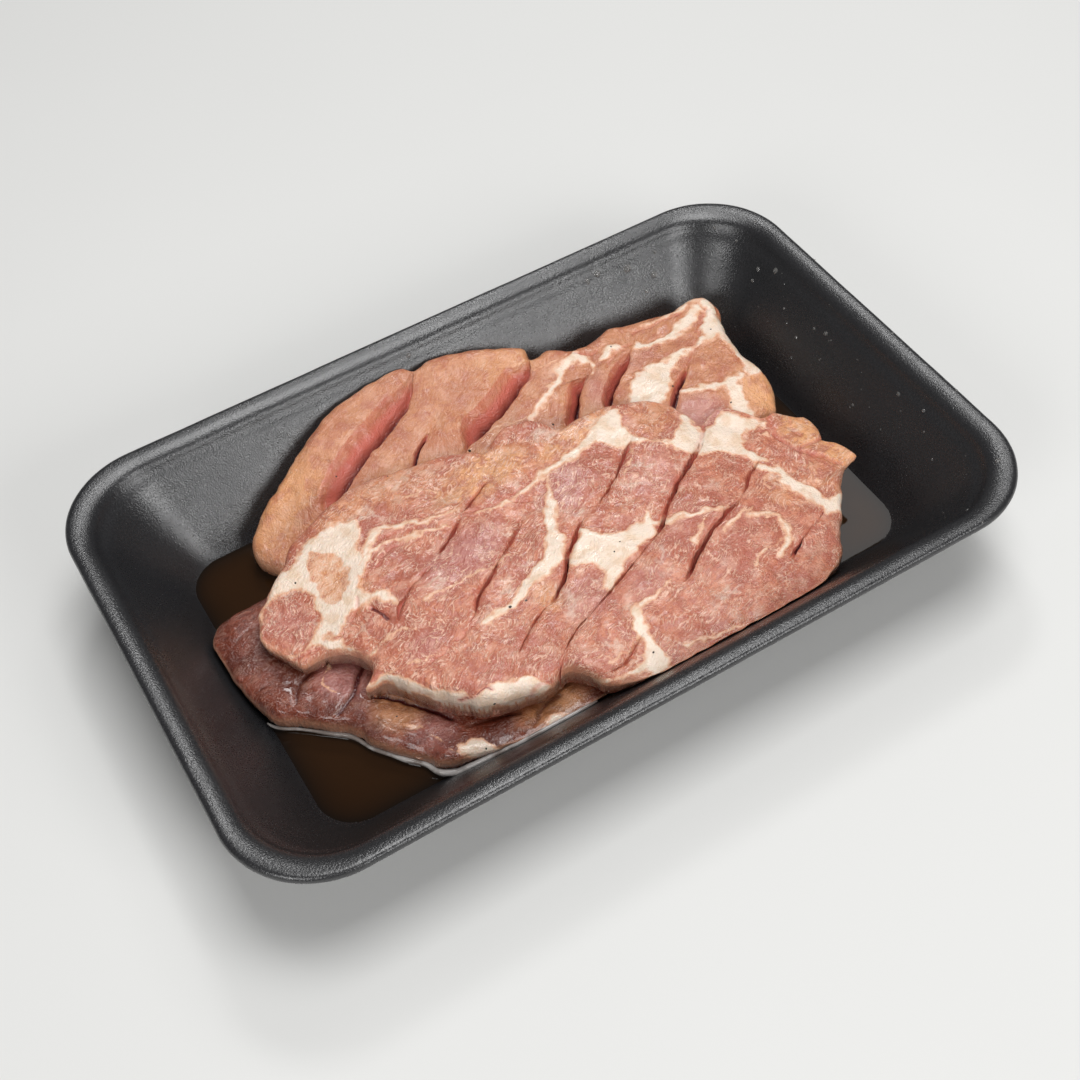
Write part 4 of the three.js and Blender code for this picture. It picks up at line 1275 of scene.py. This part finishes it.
def mist_tree(material):
    """Scatters fine drops over the faces where the surface is marked damp."""
    t = GeometryTree("fine_mist", Density=9000.0, Smallest=0.0002, Largest=0.0006, Seed=7)
    damp = t.node("GeometryNodeInputNamedAttribute", {"data_type": "FLOAT"}, {"Name": "damp"})
    scatter = t.node("GeometryNodeDistributePointsOnFaces", {"distribute_method": "RANDOM"}, {
        "Mesh": t.given["Surface"], "Density": damp * t.given["Density"], "Seed": t.given["Seed"]})
    spread = scatter.socket.node
    share = t.node("FunctionNodeRandomValue", {"data_type": "FLOAT"}, {2: 0.0, 3: 1.0, "Seed": 3}, 1)
    room = t.given["Largest"] - t.given["Smallest"]
    size = t.given["Smallest"] + share * share * share * room
    ball = t.node("GeometryNodeMeshIcoSphere", None, {"Radius": 1.0, "Subdivisions": 2})
    flat = t.node("GeometryNodeTransform", None, {"Geometry": ball, "Scale": (1, 1, 0.55)})
    placed = t.node("GeometryNodeInstanceOnPoints", None, {
        "Points": scatter, "Instance": flat, "Rotation": Wire(t, spread.outputs["Rotation"]), "Scale": size})
    return t.finish(placed, material)


def surface_points(name, objects, places, drawn):
    """Loose points on the first surface met, seen from the viewpoint if drawn, else straight down."""
    trees = [BVHTree.FromObject(o, bpy.context.evaluated_depsgraph_get()) for o in objects]
    points, facings, sizes = [], [], []
    for x, y, size in places:
        start = Vector(VIEWPOINT if drawn else (x, y, 60)) * MM
        aim = Vector((x, y, DRAWING_LEVEL if drawn else 0)) * MM
        hits = [tree.ray_cast(start, (aim - start).normalized()) for tree in trees]
        hits = [hit for hit in hits if hit[0] is not None]
        if not hits:
            raise RuntimeError(f"{name}: nothing lies under {x}, {y}")
        spot, facing, _, _ = min(hits, key=lambda hit: hit[3])
        points.append(spot / MM)
        facings.append(facing)
        sizes.append(size * MM)
    base = mesh_object(name, points, [], smooth_faces=False)
    store(base.data, "facing", facings)
    store(base.data, "size", sizes)
    return base


def sprinkle(name, objects, places, drawn, tree):
    """A piece made of small lumps that stand on the surfaces."""
    base = surface_points(name + "_places", objects, places, drawn)
    made = apply_tree(base, tree, name)
    bpy.data.objects.remove(base)
    return made


# Specks and drops: place and radius in millimetres
PEPPER = [
    (-24, -26.5, 0.5), (-19.5, -27, 0.4), (-42, -50, 0.4), (-67.5, 11.5, 0.35), (-1, -58.5, 0.35),
    (54, 15.5, 0.4), (64, 1, 0.35), (18, 22, 0.35), (-6.5, 26.5, 0.5), (76, 28.5, 0.3), (-42, 39, 0.3),
    (8, -26, 0.3), (11, -24, 0.25), (-64, -40, 0.3), (48, 39, 0.3), (-30, 31, 0.25), (-50, -60, 0.3),
]
RIM_DROPS = [
    (70.5, 65.3, 1.5), (78.2, 62.3, 1.3), (60.6, 66.8, 1.2), (56.8, 66.2, 1), (106, 38, 1), (104, 44, 0.8),
    (107, -60, 0.9), (74, 60, 0.7), (81, 66, 0.7), (-4, 67.5, 0.9), (104, 10, 0.8), (105, -22, 0.7),
]


def finished(piece, node=None, material=None):
    """Gives a piece its material and tells the frame what it stands for."""
    if material:
        piece.data.materials.append(material)
    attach(piece, "root")
    if node:
        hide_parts(node)
    return piece


# What a user would change

def colour_setting(name, description, red, green, blue):
    return bpy.props.FloatVectorProperty(
        name=name, description=description, subtype="COLOR", size=3, min=0, max=1,
        default=linear(red, green, blue))


def power_setting(name, description, watts):
    return bpy.props.FloatProperty(name=name, description=description, default=watts, min=0, subtype="POWER")


class TrayLooks(bpy.types.PropertyGroup):
    foam_colour: colour_setting("Foam", "Colour of the foam", 28, 28, 30)
    foam_light: colour_setting("Foam grain", "Lighter colour of the foam's grain", 46, 46, 48)
    grain_height: bpy.props.FloatProperty(
        name="Grain", description="Height of the foam's grain in millimetres", default=0.1, min=0, max=1)


class MeatLooks(bpy.types.PropertyGroup):
    top_flesh: colour_setting("Top steak", "Muscle of the top steak", 204, 128, 98)
    top_second: colour_setting("Top steak, deeper", "Redder muscle of the top steak", 168, 84, 66)
    back_flesh: colour_setting("Back steak", "Muscle of the back steak", 204, 138, 98)
    back_second: colour_setting("Back steak, deeper", "Deeper muscle of the back steak", 184, 112, 78)
    low_flesh: colour_setting("Bottom steak", "Muscle of the steak in the juice", 130, 58, 36)
    low_second: colour_setting("Bottom steak, deeper", "Deeper muscle of that steak", 84, 34, 22)
    violet_colour: colour_setting("Violet", "Violet muscles", 188, 126, 120)
    amber_colour: colour_setting("Amber", "Orange-tan muscles and thin skin", 230, 168, 114)
    # Pale patches in the muscle, and also the colour of the pale strokes that paint small glints
    pale_flesh_and_glints: colour_setting("Fibres", "Pale fibres in the muscle", 234, 186, 162)
    dark_flesh: colour_setting("Grain", "Dark grain in the muscle", 174, 98, 80)
    fat_colour: colour_setting("Fat", "Cream fat", 240, 219, 200)
    fat_shade: colour_setting("Fat, shaded", "Deeper cream in the fat", 226, 194, 164)
    peach_colour: colour_setting("Fat edge", "Where fat thins over muscle", 226, 172, 138)
    # Red of the flesh in the cuts, made lighter than the flesh is so that it also paints in light on the cut
    # walls
    cut_colour: colour_setting("Cut", "Flesh inside the knife cuts", 200, 106, 90)
    # Painted shade in the creases of the bottom steak
    crease_shade_colour: colour_setting("Crease", "Flesh in the creases of the bottom steak", 96, 48, 34)
    # Painted shade for the bottom of the cuts and the deepest creases
    cut_and_crease_shade: colour_setting("Deep cut", "Flesh at the bottom of the cuts", 80, 16, 18)
    wetness: bpy.props.FloatProperty(
        name="Wetness", description="Thickness of the wet film", default=0.15, min=0, max=1,
        subtype="FACTOR")
    mesh_step: bpy.props.FloatProperty(
        name="Mesh step", description="Spacing of a steak's points in millimetres", default=0.68, min=0.3,
        max=3)


class JuiceLooks(bpy.types.PropertyGroup):
    juice_colour: colour_setting("Juice", "Deep juice", 50, 31, 16)
    juice_shallow: colour_setting("Shallow juice", "Juice where it is thin", 26, 19, 14)
    level: bpy.props.FloatProperty(
        name="Level", description="Height of the juice in millimetres", default=JUICE_LEVEL, min=3.5, max=8)


class StageLooks(bpy.types.PropertyGroup):
    floor_colour: colour_setting("Floor", "Colour of the floor", 222, 222, 220)
    key_power: power_setting("Key light", "Power of the large light overhead", 8)
    left_power: power_setting("Left light", "Power of the light at the front left", 3.6)
    back_power: power_setting("Back light", "Power of the light at the back right", 0.9)
    glint_power: power_setting("Glint light", "Power of the small light that the wet meat mirrors", 2.6)
    front_power: power_setting("Front light", "Power of the light over the front side", 5.5)
    surround: bpy.props.FloatProperty(
        name="Surround", description="Strength of the even light all round", default=0.12, min=0, max=5)


class TraySettings(bpy.types.PropertyGroup):
    tray: bpy.props.PointerProperty(type=TrayLooks, name="Tray", description="Looks of the tray")
    meat: bpy.props.PointerProperty(type=MeatLooks, name="Meat", description="Looks of the steaks")
    juice: bpy.props.PointerProperty(type=JuiceLooks, name="Juice", description="Looks of the juice")
    stage: bpy.props.PointerProperty(type=StageLooks, name="Stage", description="Floor and lights")


class MEATTRAY_OT_tray(bpy.types.Operator):
    """Builds the foam tray with its rolled rim"""
    bl_idname = "meat_tray.tray"
    bl_label = "Foam tray"

    def execute(self, context):
        looks = context.scene.meat_tray.tray
        finished(build_tray(), "tray", foam_finish(looks))
        return {"FINISHED"}


class MEATTRAY_OT_juice(bpy.types.Operator):
    """Pours the juice in front of the steaks and behind them"""
    bl_idname = "meat_tray.juice"
    bl_label = "Meat juice"

    def execute(self, context):
        looks = context.scene.meat_tray.juice
        material = juice_finish(looks)
        for name, node, front in (("front_juice", "juice_front_pool", True),
                                  ("back_juice", "juice_back_pool", False)):
            finished(build_pool(name, front, looks.level), node, material)
        finished(build_waterline(), material=waterline_highlight_finish())
        return {"FINISHED"}


class MEATTRAY_OT_steaks(bpy.types.Operator):
    """Builds the three scored steaks, from the lowest up"""
    bl_idname = "meat_tray.steaks"
    bl_label = "Scored steaks"

    def execute(self, context):
        looks = context.scene.meat_tray.meat
        step = looks.mesh_step
        # Name, form, fat, spacing of points, seed, node, slot, four colours, marbling and wetness
        steaks = (
            ("bottom_steak", BOTTOM_STEAK, BOTTOM_FAT, step, 101, "steak_bottom", "wet_brown_meat",
             looks.low_flesh, looks.low_second, looks.low_second, looks.crease_shade_colour, 0.15, 0.5),
            ("back_steak", BACK_STEAK, BACK_FAT, step * 0.92, 202, "steak_back", "pale_orange_meat",
             looks.back_flesh, looks.back_second, looks.dark_flesh, looks.cut_colour, 0.35, looks.wetness),
            ("top_steak", TOP_STEAK, TOP_FAT, step, 303, "steak_top", "marbled_pink_meat",
             looks.top_flesh, looks.top_second, looks.dark_flesh, looks.cut_colour, 1.0, looks.wetness),
        )
        for name, steak, fat, spacing, seed, node, slot, *colours, marbling, wetness in steaks:
            piece = build_steak(name, steak, fat, spacing, seed)
            material = meat_finish(slot, looks, *colours, looks.cut_and_crease_shade, marbling, wetness)
            finished(piece, node, material)
        return {"FINISHED"}


class MEATTRAY_OT_pepper(bpy.types.Operator):
    """Lays the specks of ground pepper on the steaks"""
    bl_idname = "meat_tray.pepper"
    bl_label = "Pepper specks"

    def execute(self, context):
        steaks = [bpy.data.objects[name] for name in ("bottom_steak", "back_steak", "top_steak")]
        tree = grain_tree("pepper_specks", pepper_finish(), flatness=0.6, detail=2, lump=0.9)
        finished(sprinkle("pepper", steaks, PEPPER, True, tree))
        return {"FINISHED"}


class MEATTRAY_OT_drops(bpy.types.Operator):
    """Sets drops on the rim and a fine mist on the right and back walls"""
    bl_idname = "meat_tray.drops"
    bl_label = "Drops of water"

    def execute(self, context):
        tray = bpy.data.objects["foam_tray"]
        material = drop_finish()
        tree = grain_tree("rim_drops", material, flatness=0.5, detail=3, lump=0.25)
        finished(sprinkle("drops", [tray], RIM_DROPS, False, tree))
        mist = apply_tree(tray, mist_tree(material), "fine_mist", Density=MIST_DENSITY)
        finished(mist)
        return {"FINISHED"}


def softbox(name, place, size, power):
    """A rectangular area light, turned to the tray."""
    light = bpy.data.lights.new(name, "AREA")
    light.shape = "RECTANGLE"
    light.size, light.size_y = size
    light.energy = power
    made = bpy.data.objects.new(name, light)
    made.location = place
    made.rotation_euler = (Vector(LIGHT_AIM) - Vector(place)).to_track_quat("-Z", "Y").to_euler()
    bpy.context.scene.collection.objects.link(made)


class MEATTRAY_OT_stage(bpy.types.Operator):
    """Sets the floor, the studio lights and the camera"""
    bl_idname = "meat_tray.stage"
    bl_label = "Stage"

    def execute(self, context):
        scene = context.scene
        looks = scene.meat_tray.stage
        sides = ((-1, -1), (1, -1), (1, 1), (-1, 1))
        corners = [(x * FLOOR_REACH, y * FLOOR_REACH, FLOOR_DROP) for x, y in sides]
        floor = mesh_object("floor", corners, [(0, 1, 2, 3)], smooth_faces=False)
        floor.data.materials.append(floor_finish(looks))
        for name, place, size in LIGHTS:
            softbox(name + "_light", place, size, getattr(looks, name + "_power"))
        world = bpy.data.worlds.new("studio_air")
        world.use_nodes = True
        air = world.node_tree.nodes["Background"]
        air.inputs["Color"].default_value = (1, 1, 1, 1)
        air.inputs["Strength"].default_value = looks.surround
        scene.world = world
        scene.view_settings.view_transform = "Standard"
        lens = bpy.data.cameras.new("photo_camera")
        lens.lens = LENS
        lens.sensor_width = SENSOR
        camera = bpy.data.objects.new("photo_camera", lens)
        turn = Matrix(CAMERA_AXES).transposed().to_4x4()
        camera.matrix_world = Matrix.Translation(Vector(VIEWPOINT) * MM) @ turn
        scene.collection.objects.link(camera)
        scene.camera = camera
        return {"FINISHED"}


class MEATTRAY_PT_panel(bpy.types.Panel):
    """Lists the pieces in the order in which they are built"""
    bl_idname = "MEATTRAY_PT_panel"
    bl_label = "Meat tray pack"
    bl_space_type = "VIEW_3D"
    bl_region_type = "UI"
    bl_category = "Meat tray"

    def draw(self, context):
        settings = context.scene.meat_tray
        for group in (settings.tray, settings.juice, settings.meat, settings.stage):
            box = self.layout.box()
            for key in group.__annotations__:
                box.prop(group, key)
        for operator in OPERATORS:
            self.layout.operator(operator.bl_idname)


OPERATORS = (MEATTRAY_OT_tray, MEATTRAY_OT_juice, MEATTRAY_OT_steaks, MEATTRAY_OT_pepper, MEATTRAY_OT_drops,
             MEATTRAY_OT_stage)
CLASSES = (TrayLooks, MeatLooks, JuiceLooks, StageLooks, TraySettings, *OPERATORS, MEATTRAY_PT_panel)


def register():
    for cls in CLASSES:
        bpy.utils.register_class(cls)
    bpy.types.Scene.meat_tray = bpy.props.PointerProperty(
        type=TraySettings, name="Meat tray", description="Sizes and colours of the meat tray pack")


def unregister():
    del bpy.types.Scene.meat_tray
    for cls in reversed(CLASSES):
        bpy.utils.unregister_class(cls)


def main():
    register()
    for operator in OPERATORS:
        group, name = operator.bl_idname.split(".")
        getattr(getattr(bpy.ops, group), name)()


if __name__ == "__main__":
    main()
